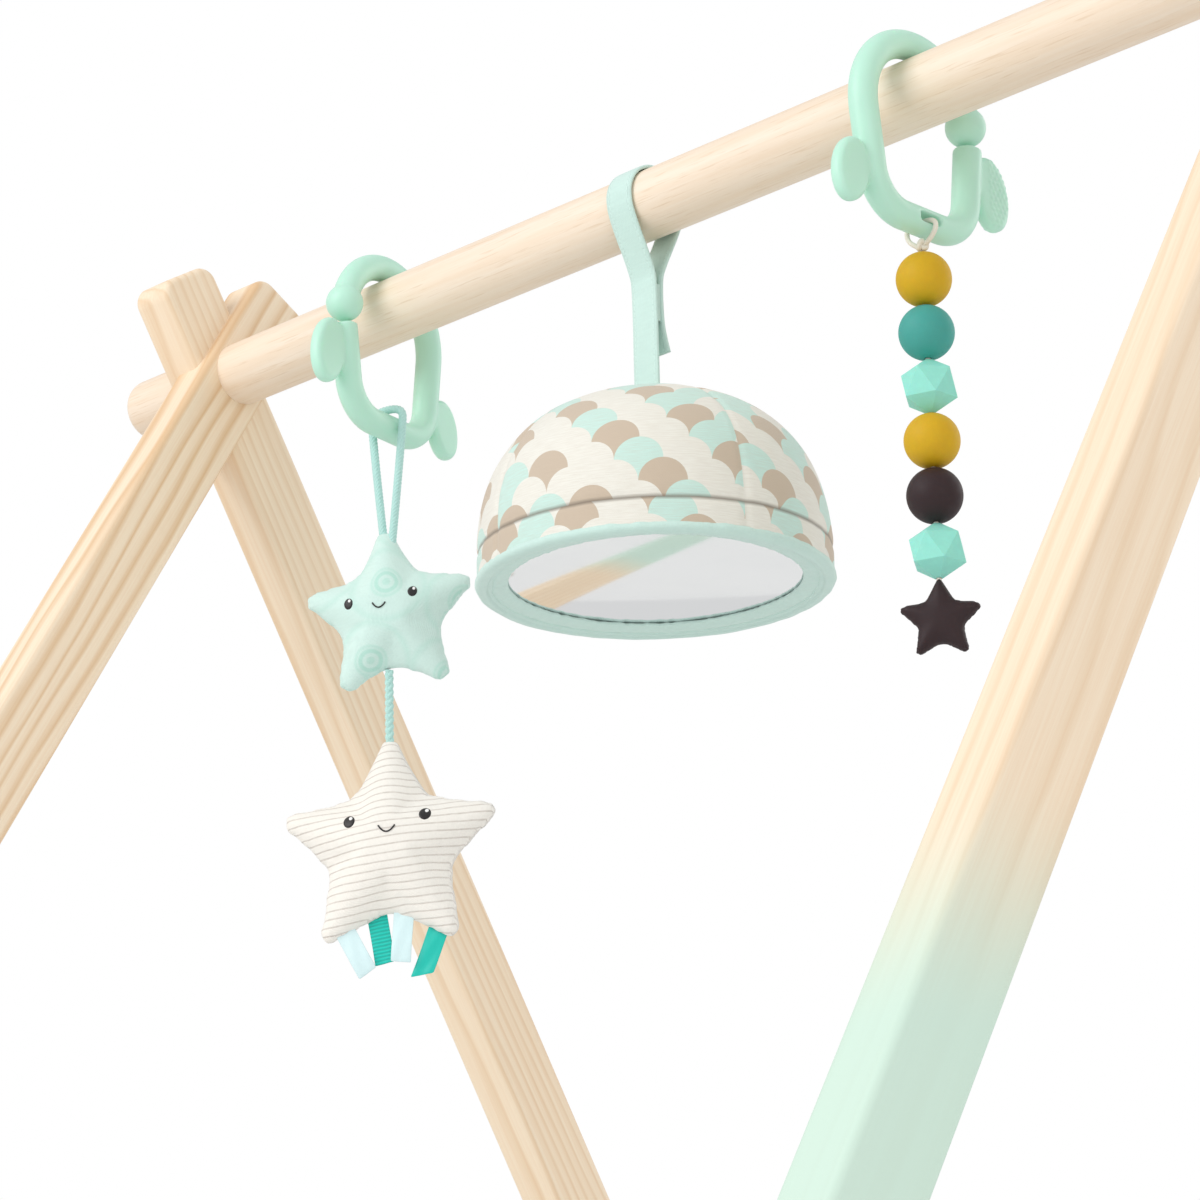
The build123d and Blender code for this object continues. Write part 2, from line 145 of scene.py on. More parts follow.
# =====================================================================
# Materials
# =====================================================================
class Finish:
    """One material, built from nodes."""

    def __init__(self, name, base, roughness, **sockets):
        self.material = bpy.data.materials.get(name) or bpy.data.materials.new(name)
        self.material.use_nodes = True
        self.tree = self.material.node_tree
        self.tree.nodes.clear()
        self.shader = self.tree.nodes.new("ShaderNodeBsdfPrincipled")
        output = self.tree.nodes.new("ShaderNodeOutputMaterial")
        self.tree.links.new(self.shader.outputs[0], output.inputs[0])
        self.shader.inputs["Base Color"].default_value = base
        self.shader.inputs["Roughness"].default_value = roughness
        for socket, value in sockets.items():
            self.shader.inputs[socket.replace("_", " ")].default_value = value
        self.place = self.node("ShaderNodeTexCoord").outputs["Object"]
        self.uv = self.node("ShaderNodeUVMap").outputs["UV"]

    def node(self, kind, inputs=(), **settings):
        """Add a node. inputs holds (socket, value or output) pairs."""
        node = self.tree.nodes.new(kind)
        for setting, value in settings.items():
            setattr(node, setting, value)
        for socket, value in inputs:
            if isinstance(value, bpy.types.NodeSocket):
                self.tree.links.new(value, node.inputs[socket])
            elif value is not None:
                node.inputs[socket].default_value = value
        return node

    def math(self, operation, *values):
        """One arithmetic node's result."""
        return self.node("ShaderNodeMath", enumerate(values), operation=operation).outputs[0]

    def parts(self, vector):
        """A vector's X, Y and Z."""
        return self.node("ShaderNodeSeparateXYZ", [(0, vector)]).outputs

    def vector(self, *values):
        """A vector from X, Y and Z."""
        return self.node("ShaderNodeCombineXYZ", enumerate(values)).outputs[0]

    def stretched(self, vector, scale):
        """A vector with each part multiplied."""
        return self.node("ShaderNodeVectorMath", [(0, vector), (1, scale)], operation="MULTIPLY").outputs[0]

    def noise(self, vector, scale, detail=2.0, roughness=0.5):
        """Soft noise from 0 to 1."""
        pairs = [("Vector", vector), ("Scale", scale), ("Detail", detail), ("Roughness", roughness)]
        return self.node("ShaderNodeTexNoise", pairs).outputs["Fac"]

    def ramp(self, value, *stops, interpolation="LINEAR"):
        """A colour ramp with (position, colour) stops."""
        node = self.node("ShaderNodeValToRGB", [(0, value)])
        node.color_ramp.interpolation = interpolation
        elements = node.color_ramp.elements
        while len(elements) < len(stops):
            elements.new(1.0)
        for element, (position, shade) in zip(elements, stops):
            element.position = position
            element.color = shade if hasattr(shade, "__len__") else (shade, shade, shade, 1)
        return node.outputs[0]

    def mix(self, factor, first, second, blend="MIX"):
        """Two colours mixed."""
        node = self.node("ShaderNodeMix", data_type="RGBA", blend_type=blend)
        for socket, value in ((0, factor), (6, first), (7, second)):
            if isinstance(value, bpy.types.NodeSocket):
                self.tree.links.new(value, node.inputs[socket])
            else:
                node.inputs[socket].default_value = value
        return node.outputs[2]

    def paint(self, output):
        """Colour the surface."""
        self.tree.links.new(output, self.shader.inputs["Base Color"])

    def polish(self, output):
        """Vary the roughness."""
        self.tree.links.new(output, self.shader.inputs["Roughness"])

    def bump(self, height, distance, strength=1.0):
        """Raise the surface by height, at most distance."""
        last = self.shader.inputs["Normal"]
        before = last.links[0].from_socket if last.links else None
        pairs = [("Height", height), ("Distance", distance), ("Strength", strength), ("Normal", before)]
        self.tree.links.new(self.node("ShaderNodeBump", pairs).outputs[0], last)


def shade(base, factor):
    """A colour made lighter or darker."""
    return tuple(min(1.0, value * factor) for value in base[:3]) + (1.0,)


def pine(name, lean, seed, contrast):
    """Pine with growth lines along a leg that leans by this angle about X, its foot dipped in paint."""
    colours, sizes = gym()
    wood = Finish(name, colours.pine_light, 0.55, Specular_IOR_Level=0.35)
    upright = wood.node(
        "ShaderNodeVectorRotate",
        [("Vector", wood.place), ("Center", (0, 0, BAR_Z)), ("Angle", lean)],
        rotation_type="X_AXIS",
    ).outputs[0]
    moved = wood.node("ShaderNodeVectorMath", [(0, upright), (1, (0, 0, seed))], operation="ADD").outputs[0]
    across, along = wood.parts(upright), wood.stretched(moved, (17, 17, 2.1))
    drift = wood.math("MULTIPLY", wood.math("SUBTRACT", wood.noise(along, 1.0, 4.0), 0.5), 24 * MM)
    depth = wood.math("ADD", across[0], 0.020 + 0.31 * math.sin(seed))
    side = wood.math("ADD", across[1], 0.085)
    radius = wood.math("SQRT", wood.math("ADD", wood.math("MULTIPLY", depth, wood.math("MULTIPLY", depth, 0.35)),
                                         wood.math("MULTIPLY", side, side)))
    rings = wood.math("FRACT", wood.math("DIVIDE", wood.math("ADD", radius, drift), sizes.growth_ring))
    late = wood.ramp(rings, (0.0, 0.0), (0.42, 0.08), (0.80, 1.0), (0.90, 0.55), (1.0, 0.0))
    fibre = wood.noise(wood.stretched(moved, (900, 900, 14)), 1.0, 4.0, 0.65)
    patch = wood.noise(wood.stretched(moved, (30, 30, 4)), 1.0, 2.0)
    strength = wood.math("MULTIPLY", late, wood.math("MULTIPLY_ADD", patch, 0.5, contrast - 0.1))
    base = wood.mix(strength, colours.pine_light, colours.pine_line)
    fleck = wood.ramp(fibre, (0.35, shade(colours.pine_line, 1.12)), (0.62, (1, 1, 1, 1)))
    tone = wood.mix(0.16, base, fleck, "MULTIPLY")
    tone = wood.mix(wood.ramp(patch, (0.3, 0.0), (0.8, 0.10)), tone, shade(colours.pine_line, 1.05))
    fade = wood.math("ADD", wood.parts(wood.place)[2],
                     wood.math("MULTIPLY", wood.math("SUBTRACT", patch, 0.5), 0.02))
    low, high = sizes.dip_height - sizes.dip_fade / 2, sizes.dip_height + sizes.dip_fade / 2
    cover = wood.node(
        "ShaderNodeMapRange",
        [(0, fade), (1, low), (2, high), (3, 0.93), (4, 0.0)],
        interpolation_type="SMOOTHSTEP",
    ).outputs[0]
    wood.paint(wood.mix(cover, tone, wood.mix(0.10, colours.dip, tone, "MULTIPLY")))
    wood.polish(wood.math("MULTIPLY_ADD", fibre, 0.25, 0.42))
    wood.bump(fibre, 0.05 * MM, 0.5)
    wood.bump(late, 0.03 * MM, 0.3)
    return wood.material


def birch():
    """The smooth crossbar, with faint long grain."""
    colours, _ = gym()
    wood = Finish("birch", colours.birch, 0.45, Specular_IOR_Level=0.4)
    grain = wood.noise(wood.stretched(wood.place, (9, 260, 260)), 1.0, 4.0, 0.6)
    pores = wood.noise(wood.stretched(wood.place, (60, 1500, 1500)), 1.0, 2.0, 0.6)
    cloudy = wood.noise(wood.stretched(wood.place, (11, 40, 40)), 1.0, 2.0)
    tone = wood.mix(wood.ramp(grain, (0.35, 0.30), (0.65, 0.0)), colours.birch, shade(colours.pine_line, 1.02))
    tone = wood.mix(wood.ramp(pores, (0.30, 0.35), (0.42, 0.0)), tone, shade(colours.pine_line, 0.85))
    wood.paint(wood.mix(wood.ramp(cloudy, (0.35, 0.0), (0.75, 0.18)), tone, shade(colours.pine_light, 1.08)))
    wood.polish(wood.math("MULTIPLY_ADD", grain, 0.2, 0.36))
    wood.bump(grain, 0.04 * MM, 0.5)
    wood.bump(pores, 0.02 * MM, 0.5)
    return wood.material


def moulded():
    """Satin moulded plastic of the link rings."""
    colours, _ = gym()
    plastic = Finish(
        "mint_plastic", colours.ring_mint, 0.42, Subsurface_Weight=0.35, Subsurface_Scale=0.004,
        Specular_IOR_Level=0.4,
    )
    plastic.shader.inputs["Subsurface Radius"].default_value = (0.7, 1.0, 0.85)
    cloudy = plastic.noise(plastic.place, 90.0, 2.0)
    plastic.paint(plastic.mix(plastic.ramp(cloudy, (0.3, 0.0), (0.8, 0.20)), colours.ring_mint,
                              shade(colours.ring_mint, 0.9)))
    fine = plastic.noise(plastic.place, 2600.0, 2.0)
    plastic.polish(plastic.math("MULTIPLY_ADD", fine, 0.16, 0.34))
    plastic.bump(fine, 0.02 * MM, 0.4)
    return plastic.material


def silicone(name, base):
    """Matt silicone, with a fine skin and a little dust."""
    rubber = Finish(name, base, 0.62, Subsurface_Weight=0.12, Subsurface_Scale=0.002, Specular_IOR_Level=0.35)
    skin = rubber.noise(rubber.place, 3200.0, 3.0, 0.7)
    dust = rubber.noise(rubber.place, 420.0, 4.0, 0.65)
    rubber.paint(rubber.mix(rubber.ramp(dust, (0.45, 0.0), (0.85, 0.22)), base, shade(base, 1.35)))
    rubber.polish(rubber.math("MULTIPLY_ADD", dust, 0.3, 0.45))
    rubber.bump(skin, 0.05 * MM, 0.6)
    return rubber.material


def weave_of(cloth, vector, pitch, depth):
    """Plain weave: two thread directions, over and under."""
    first, second, _ = cloth.parts(vector)
    turns = 2 * math.pi / pitch
    warp = cloth.math("SINE", cloth.math("MULTIPLY", first, turns))
    weft = cloth.math("SINE", cloth.math("MULTIPLY", second, turns))
    cloth.bump(cloth.math("MULTIPLY", warp, weft), depth, 0.6)
    slub = cloth.noise(cloth.stretched(vector, (160, 2200, 800)), 1.0, 3.0, 0.6)
    cloth.bump(slub, depth, 0.35)
    return slub


def cloth(name, base, pitch=None, depth=0.07 * MM):
    """Plain woven cloth."""
    _, sizes = gym()
    fabric = Finish(name, base, 0.85, Sheen_Weight=0.35, Sheen_Roughness=0.5, Specular_IOR_Level=0.2)
    slub = weave_of(fabric, fabric.place, pitch or sizes.weave, depth)
    wash = fabric.noise(fabric.place, 70.0, 3.0)
    tone = fabric.mix(fabric.ramp(slub, (0.3, 0.35), (0.65, 0.0)), base, shade(base, 0.88))
    fabric.paint(fabric.mix(fabric.ramp(wash, (0.35, 0.0), (0.8, 0.3)), tone, shade(base, 1.05)))
    return fabric


def printed_mint():
    """Mint cloth printed with soft rings, tone on tone."""
    colours, _ = gym()
    fabric = cloth("mint_print_cloth", colours.star_mint)
    across, up, _ = fabric.parts(fabric.uv)
    pitch, turn = 29.3 * MM, math.radians(16.9)

    def off_middle(along_x, along_y, start):
        """The distance from the nearest ring's middle along one direction, as a share of the pitch."""
        moved = fabric.math("ADD", fabric.math("MULTIPLY", across, along_x / pitch),
                            fabric.math("MULTIPLY_ADD", up, along_y / pitch, start + 0.5))
        return fabric.math("SUBTRACT", fabric.math("FRACT", moved), 0.5)

    side = off_middle(math.cos(turn), -math.sin(turn), 0.066)
    rise = off_middle(math.sin(turn), math.cos(turn), 0.662)
    spots = fabric.math("SQRT", fabric.math("MULTIPLY_ADD", side, side, fabric.math("MULTIPLY", rise, rise)))
    rings = fabric.ramp(
        spots, (0.0, 0.7), (0.04, 0.6), (0.06, 0.1), (0.09, 0.1), (0.11, 0.85), (0.14, 0.85), (0.16, 0.2),
        (0.19, 0.55), (0.22, 0.0), (0.40, 0.0), (0.48, 0.35), (0.54, 0.0),
    )
    base = fabric.shader.inputs["Base Color"].links[0].from_socket
    fabric.paint(fabric.mix(fabric.math("MULTIPLY", rings, 0.62), base, colours.star_print))
    return fabric.material


def striped():
    """Pale cloth with thin knitted stripes that rise a little to the right."""
    colours, sizes = gym()
    fabric = cloth("striped_cloth", colours.star_white)
    across, up, _ = fabric.parts(fabric.uv)
    wander = fabric.math("MULTIPLY", fabric.math("SUBTRACT", fabric.noise(fabric.uv, 60.0, 2.0), 0.5), 0.8 * MM)
    rise = fabric.math("MULTIPLY_ADD", across, -0.10, fabric.math("ADD", up, wander))
    turn = fabric.math("FRACT", fabric.math("DIVIDE", rise, sizes.stripe_pitch))
    line = fabric.ramp(turn, (0.0, 0.0), (0.40, 0.0), (0.48, 1.0), (0.56, 1.0), (0.66, 0.0))
    worn = fabric.math("MULTIPLY", line, fabric.math("MULTIPLY_ADD", fabric.noise(fabric.uv, 420.0, 3.0), 0.6, 0.15))
    base = fabric.shader.inputs["Base Color"].links[0].from_socket
    fabric.paint(fabric.mix(worn, base, colours.star_stripe))
    rib = fabric.ramp(turn, (0.0, 1.0), (0.36, 0.9), (0.52, 0.0), (0.68, 0.9))
    fabric.bump(rib, 0.25 * MM, 0.7)
    return fabric.material


def scale_print():
    """Cloth printed with rows of overlapping scales, laid on each of the dome's panels, with a painted shadow line
    along the seam above the band.
    """
    colours, sizes = gym()
    fabric = Finish("scallop_cloth", colours.scale_cream, 0.8, Sheen_Weight=0.3, Sheen_Roughness=0.5,
                    Specular_IOR_Level=0.2)
    radius, reach = sizes.scale_radius, DOME.radius
    moved = fabric.node(
        "ShaderNodeVectorMath", [(0, fabric.place), (1, (DOME_X, 0, DOME.seam))], operation="SUBTRACT"
    ).outputs[0]
    x, y, z = fabric.parts(moved)
    out = fabric.math("SQRT", fabric.math("ADD", fabric.math("MULTIPLY", x, x), fabric.math("MULTIPLY", y, y)))
    turn = fabric.math("SUBTRACT", fabric.math("ARCTAN2", y, x), DOME.first_seam)
    panel = fabric.math("FLOOR", fabric.math("DIVIDE", turn, DOME.panel))
    off_centre = fabric.math("SUBTRACT", turn, fabric.math("MULTIPLY", fabric.math("ADD", panel, 0.5), DOME.panel))
    band = fabric.math("LESS_THAN", z, 0.0)
    u = fabric.math("ADD", fabric.math("MULTIPLY", off_centre, out), fabric.math("MULTIPLY", panel, 3.1 * MM))
    u = fabric.math("MULTIPLY_ADD", band, 5.3 * MM, u)
    v = fabric.math("MULTIPLY", fabric.math("ARCTAN2", z, out), reach)
    v = fabric.math("ADD", fabric.math("MULTIPLY_ADD", band, 3.7 * MM, v), 2.6 * MM)
    row = fabric.math("FLOOR", fabric.math("DIVIDE", v, radius))
    rise = fabric.math("SUBTRACT", v, fabric.math("MULTIPLY", row, radius))

    def column(parity):
        """The scale's number along its row, and the distance from its middle."""
        along = fabric.math("MULTIPLY_ADD", parity, 0.5, fabric.math("DIVIDE", u, 2 * radius))
        number = fabric.math("FLOOR", along)
        offset = fabric.math("MULTIPLY", fabric.math("SUBTRACT", fabric.math("SUBTRACT", along, number), 0.5),
                             2 * radius)
        return number, offset

    parity = fabric.math("FLOORED_MODULO", row, 2.0)
    near, offset = column(parity)
    far, _ = column(fabric.math("SUBTRACT", 1.0, parity))
    reach_out = fabric.math("ADD", fabric.math("MULTIPLY", offset, offset), fabric.math("MULTIPLY", rise, rise))
    behind = fabric.math("GREATER_THAN", reach_out, radius * radius)
    which = fabric.math("ADD", near, fabric.math("MULTIPLY", behind, fabric.math("SUBTRACT", far, near)))
    level = fabric.math("ADD", row, behind)
    odd = fabric.math("FLOORED_MODULO", level, 2.0)
    pair = fabric.math("FLOOR", fabric.math("DIVIDE", level, 2.0))
    order = fabric.math("MULTIPLY_ADD", odd, 4.0, fabric.math("ADD", which, pair))
    order = fabric.math("FLOORED_MODULO", fabric.math("MULTIPLY_ADD", panel, 3.0, order), 6.0)
    draw = fabric.math("DIVIDE", fabric.math("ADD", fabric.math("MULTIPLY_ADD", odd, 6.0, order), 0.5), 12.0)
    taupe, cream, mint = colours.scale_taupe, colours.scale_cream, colours.scale_mint
    even_row, odd_row = (taupe, mint, taupe, cream, mint, cream), (cream, cream, taupe, cream, mint, cream)
    stops = [(step / 12, colour) for step, colour in enumerate(even_row + odd_row)]
    tone = fabric.ramp(draw, *stops, interpolation="CONSTANT")
    cells = fabric.vector(fabric.math("MULTIPLY", off_centre, out), v, 0.0)
    slub = weave_of(fabric, cells, sizes.weave, 0.07 * MM)
    tone = fabric.mix(fabric.ramp(slub, (0.3, 0.22), (0.65, 0.0)), tone, shade(colours.scale_taupe, 0.9))
    # Painted shadow: a dark taupe line along the seam where the cover tucks over the band, standing in for the shade
    # in that crease.
    seam_shadow_distance = fabric.math("DIVIDE", fabric.math("ABSOLUTE", z), 1.4 * MM)
    seam_mark = fabric.ramp(seam_shadow_distance, (0.0, 0.8), (0.25, 0.6), (0.9, 0.0))
    fabric.paint(fabric.mix(seam_mark, tone, shade(colours.scale_taupe, 0.32)))
    return fabric.material


def ribbon(name, base, ribbed):
    """Satin ribbon, or ribbed ribbon with raised cross lines whose crests carry a painted highlight and whose
    grooves carry painted shade. UV runs along and across it.
    """
    band = Finish(name, base, 0.38 if not ribbed else 0.6, Sheen_Weight=0.3, Specular_IOR_Level=0.4)
    along, across, _ = band.parts(band.uv)
    if ribbed:
        turn = band.math("FRACT", band.math("DIVIDE", along, 1.35 * MM))
        rib = band.ramp(turn, (0.0, 0.0), (0.5, 1.0), (1.0, 0.0))
        # Painted highlight and shade: each rib is painted lighter on its crest and darker in its groove, following
        # the bump's height.
        band.paint(band.mix(rib, shade(base, 0.78), shade(base, 1.25)))
        band.bump(rib, 0.3 * MM, 0.9)
    else:
        thread = band.noise(band.stretched(band.uv, (300, 5200, 1)), 1.0, 3.0, 0.6)
        band.paint(band.mix(band.ramp(thread, (0.3, 0.35), (0.7, 0.0)), base, shade(base, 0.86)))
        band.bump(thread, 0.05 * MM, 0.6)
        band.polish(band.math("MULTIPLY_ADD", thread, 0.25, 0.30))
    off_middle = band.math("DIVIDE", band.math("ABSOLUTE", across), 4.0 * MM)
    edge = band.ramp(off_middle, (0.0, 0.0), (0.78, 0.0), (0.9, 1.0))
    band.bump(edge, 0.12 * MM, 0.5)
    return band.material


def webbing(name, base, edge):
    """Strap cloth with a sewn line near each edge. UV runs along and across it."""
    strap = cloth(name, base, pitch=0.7 * MM)
    along, across, _ = strap.parts(strap.uv)
    near = strap.math("ABSOLUTE", strap.math("SUBTRACT", strap.math("ABSOLUTE", across), edge))
    line = strap.ramp(strap.math("DIVIDE", near, 0.5 * MM), (0.0, 1.0), (0.5, 1.0), (1.0, 0.0))
    stitch = strap.ramp(strap.math("FRACT", strap.math("DIVIDE", along, 2.4 * MM)), (0.0, 0.0), (0.12, 1.0),
                        (0.78, 1.0), (0.9, 0.0))
    seam_mark = strap.math("MULTIPLY", line, stitch)
    before = strap.shader.inputs["Base Color"].links[0].from_socket
    strap.paint(strap.mix(strap.math("MULTIPLY", seam_mark, 0.35), before, shade(base, 1.12)))
    strap.bump(line, 0.15 * MM, -0.6)
    strap.bump(seam_mark, 0.15 * MM, 0.8)
    return strap.material


def thread_of(name, base):
    """Embroidery: short satin stitches side by side."""
    thread = Finish(name, base, 0.45, Sheen_Weight=0.2)
    stitches = thread.noise(thread.stretched(thread.place, (700, 700, 5200)), 1.0, 2.0, 0.6)
    thread.paint(thread.mix(thread.ramp(stitches, (0.35, 0.5), (0.65, 0.0)), base, shade(base, 1.7)))
    thread.bump(stitches, 0.08 * MM, 0.8)
    return thread.material


def yarn(name, base):
    """Cord strands, with fine fibres along them. UV runs along and round each strand."""
    strand = Finish(name, base, 0.75, Sheen_Weight=0.4, Sheen_Roughness=0.4, Specular_IOR_Level=0.25)
    fibre = strand.noise(strand.stretched(strand.place, (2600, 2600, 900)), 1.0, 3.0, 0.6)
    strand.paint(strand.mix(strand.ramp(fibre, (0.3, 0.45), (0.7, 0.0)), base, shade(base, 0.78)))
    strand.bump(fibre, 0.08 * MM, 0.6)
    return strand.material


def mirror_glass():
    """Acrylic mirror, with faint ripples and dust, warped a little as soft sheet is in a padded frame."""
    glass = Finish("mirror", (0.92, 0.93, 0.94, 1), 0.04, Metallic=1.0)
    haze = glass.noise(glass.place, 35.0, 3.0)
    glass.paint(glass.mix(glass.ramp(haze, (0.35, 0.0), (0.75, 0.3)), (0.92, 0.93, 0.94, 1), (0.86, 0.88, 0.89, 1)))
    glass.polish(glass.math("MULTIPLY_ADD", haze, 0.06, 0.03))
    glass.bump(glass.noise(glass.place, 14.0, 1.0), 0.08 * MM, 0.3)
    x, y, _ = glass.parts(glass.place)
    side = glass.math("DIVIDE", glass.math("SUBTRACT", x, DOME_X), DOME.radius)
    front = glass.math("DIVIDE", y, DOME.radius)
    hollow = glass.math("MULTIPLY_ADD", side, side, glass.math("MULTIPLY", front, front))
    slope = glass.math("MULTIPLY_ADD", side, -0.68, glass.math("MULTIPLY", front, 0.73))
    glass.bump(glass.math("MULTIPLY_ADD", slope, -1.8, hollow), -3.4 * MM, 1.0)
    return glass.material


# =====================================================================
# Shapes
# =====================================================================
class DOME:
    """The mirror dome's own places."""
    radius = (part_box("dome_cover")[1].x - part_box("dome_cover")[0].x) / 2
    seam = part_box("dome_cover")[0].z
    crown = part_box("dome_cover")[1].z
    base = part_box("dome_band")[0].z
    panel = math.pi / 2
    first_seam = math.radians(-16.4)


def mesh_from(name, points, faces, uvs=None):
    """A mesh from points and faces, with a UV place for each point."""
    mesh = bpy.data.meshes.new(name)
    mesh.from_pydata([tuple(point) for point in points], [], [tuple(face) for face in faces])
    if uvs is not None:
        layer = mesh.uv_layers.new(name="UVMap")
        for loop in mesh.loops:
            layer.data[loop.index].uv = uvs[loop.vertex_index]
    mesh.update()
    return mesh


def coat(name, material):
    """Finish a CAD node with a material."""
    for slot in frame["nodes"][name].material_slots:
        slot.material = material


def finished(mesh, body, material, nodes=(), subdivide=0):
    """Put a mesh into the scene as a piece of a body, in place of CAD nodes."""
    piece = bpy.data.objects.new(mesh.name, mesh)
    bpy.context.scene.collection.objects.link(piece)
    mesh.materials.clear()
    mesh.materials.append(material)
    for polygon in mesh.polygons:
        polygon.use_smooth = True
    if subdivide:
        modifier = piece.modifiers.new("smooth", "SUBSURF")
        modifier.levels = modifier.render_levels = subdivide
        applied(piece)
    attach(piece, body)
    if nodes:
        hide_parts(*nodes)
    return piece


def applied(piece):
    """Apply a piece's modifiers."""
    graph = bpy.context.evaluated_depsgraph_get()
    mesh = bpy.data.meshes.new_from_object(piece.evaluated_get(graph), depsgraph=graph)
    piece.modifiers.clear()
    old, name = piece.data, piece.data.name
    piece.data = mesh
    bpy.data.meshes.remove(old)
    mesh.name = name


def grid_faces(rows, columns, wrap_rows=False, wrap_columns=True):
    """The faces of a grid of points."""
    faces = []
    for row in range(rows if wrap_rows else rows - 1):
        for column in range(columns if wrap_columns else columns - 1):
            up, on = (row + 1) % rows, (column + 1) % columns
            faces.append((row * columns + column, row * columns + on, up * columns + on, up * columns + column))
    return faces


def disc_faces(rings, sides):
    """The faces of a disc of points: its middle, then rings of them."""
    faces = [(0, 1 + side, 1 + (side + 1) % sides) for side in range(sides)]
    for ring in range(rings - 1):
        for side in range(sides):
            here, on = 1 + ring * sides + side, 1 + ring * sides + (side + 1) % sides
            faces.append((here, here + sides, on + sides, on))
    return faces


def circle(centre, across, up, radius, sides=8):
    """A ring of points round a centre."""
    return [
        centre + across * radius * math.cos(angle) + up * radius * math.sin(angle)
        for angle in np.linspace(0, 2 * math.pi, sides, endpoint=False)
    ]


def swept(centres, sections):
    """A closed tube through centres: sections holds the ring of points round each."""
    rows, columns = len(sections), len(sections[0])
    points = [point for section in sections for point in section] + [centres[0], centres[-1]]
    faces = grid_faces(rows, columns)
    first, last = rows * columns, rows * columns + 1
    for column in range(columns):
        on = (column + 1) % columns
        faces.append((first, on, column))
        faces.append((last, (rows - 1) * columns + column, (rows - 1) * columns + on))
    return points, faces


def frames_along(path):
    """Each path point's place, with two directions across it that don't twist."""
    path = [Vector(point) for point in path]
    across = None
    result = []
    for index, here in enumerate(path):
        ahead = path[min(index + 1, len(path) - 1)] - path[max(index - 1, 0)]
        ahead.normalize()
        if across is None:
            across = ahead.orthogonal().normalized()
        across = (across - ahead * across.dot(ahead)).normalized()
        result.append((here, across.copy(), ahead.cross(across)))
    return result


def resampled(path, spacing):
    """Points at an even spacing along a path."""
    path = np.array([tuple(point) for point in path])
    steps = np.linalg.norm(np.diff(path, axis=0), axis=1)
    run = np.concatenate(([0], np.cumsum(steps)))
    count = int(round(run[-1] / spacing)) + 1
    places = np.linspace(0, run[-1], count)
    return np.stack([np.interp(places, run, path[:, axis]) for axis in range(3)], axis=1), run[-1]


def route_line(name, route):
    """The points of a smooth line along a cord's route."""
    curve = bpy.data.curves.new(name, "CURVE")
    curve.dimensions = "3D"
    spline = curve.splines.new("NURBS")
    spline.points.add(len(route) - 1)
    for point, place in zip(spline.points, route):
        point.co = (*place, 1)
    spline.order_u = 3
    spline.use_endpoint_u = True
    spline.resolution_u = 40
    holder = bpy.data.objects.new(name, curve)
    mesh = bpy.data.meshes.new_from_object(holder)
    points = [vertex.co.copy() for vertex in mesh.vertices]
    bpy.data.objects.remove(holder)
    bpy.data.curves.remove(curve)
    bpy.data.meshes.remove(mesh)
    return points


def braided(name, route, diameter, strands, lay, strand_share, body, material, nodes, flat=False):
    """A laid cord of several strands along a route, or a flat plait."""
    step = 0.35 * MM
    line, _ = resampled(route_line(name, route), step)
    frames = frames_along(line)
    strand = diameter * strand_share / 2
    swing = diameter / 2 - strand
    points, faces = [], []
    for number in range(strands):
        centres, sections = [], []
        for index, (here, across, up) in enumerate(frames):
            turn = 2 * math.pi * (index * step / lay + number / strands)
            if flat:
                centre = here + across * swing * math.sin(turn) + up * swing * 0.55 * math.sin(2 * turn)
            else:
                centre = here + across * swing * math.cos(turn) + up * swing * math.sin(turn)
            centres.append(centre)
            sections.append(circle(centre, across, up, strand))
        made, shown = swept(centres, sections)
        faces += [tuple(corner + len(points) for corner in face) for face in shown]
        points += made
    piece = finished(mesh_from(name, points, faces), body, material, nodes)
    return piece, line


def outline_of(corners, radii, spacing):
    """A closed outline with rounded corners, as evenly spaced points."""
    points = []
    count = len(corners)
    for index in range(count):
        before, here, after = (np.array(corners[(index + step) % count], float) for step in (-1, 0, 1))
        to_before = (before - here) / np.linalg.norm(before - here)
        to_after = (after - here) / np.linalg.norm(after - here)
        half = math.acos(np.clip(to_before @ to_after, -1, 1)) / 2
        leave = radii[index] / math.tan(half)
        middle = (to_before + to_after) / np.linalg.norm(to_before + to_after)
        centre = here + middle * radii[index] / math.sin(half)
        start, end = here + to_before * leave - centre, here + to_after * leave - centre
        first, last = math.atan2(start[1], start[0]), math.atan2(end[1], end[0])
        sweep = (last - first + math.pi) % (2 * math.pi) - math.pi
        points += [
            centre + radii[index] * np.array((math.cos(first + sweep * part), math.sin(first + sweep * part)))
            for part in np.linspace(0, 1, 9)
        ]
    points.append(points[0])
    line = np.array(points)
    run = np.concatenate(([0], np.cumsum(np.linalg.norm(np.diff(line, axis=0), axis=1))))
    places = np.linspace(0, run[-1], int(run[-1] / spacing) + 1)[:-1]
    return np.stack([np.interp(places, run, line[:, axis]) for axis in range(2)], axis=1)


def star_outline(radius, waist, tip, corner, spacing):
    """A five-pointed star's rounded outline."""
    lengths = [radius if step % 2 == 0 else waist * radius for step in range(10)]
    corners = [
        (size * math.cos(math.radians(90 + 36 * step)), size * math.sin(math.radians(90 + 36 * step)))
        for step, size in enumerate(lengths)
    ]
    return outline_of(corners, [tip, corner] * 5, spacing)


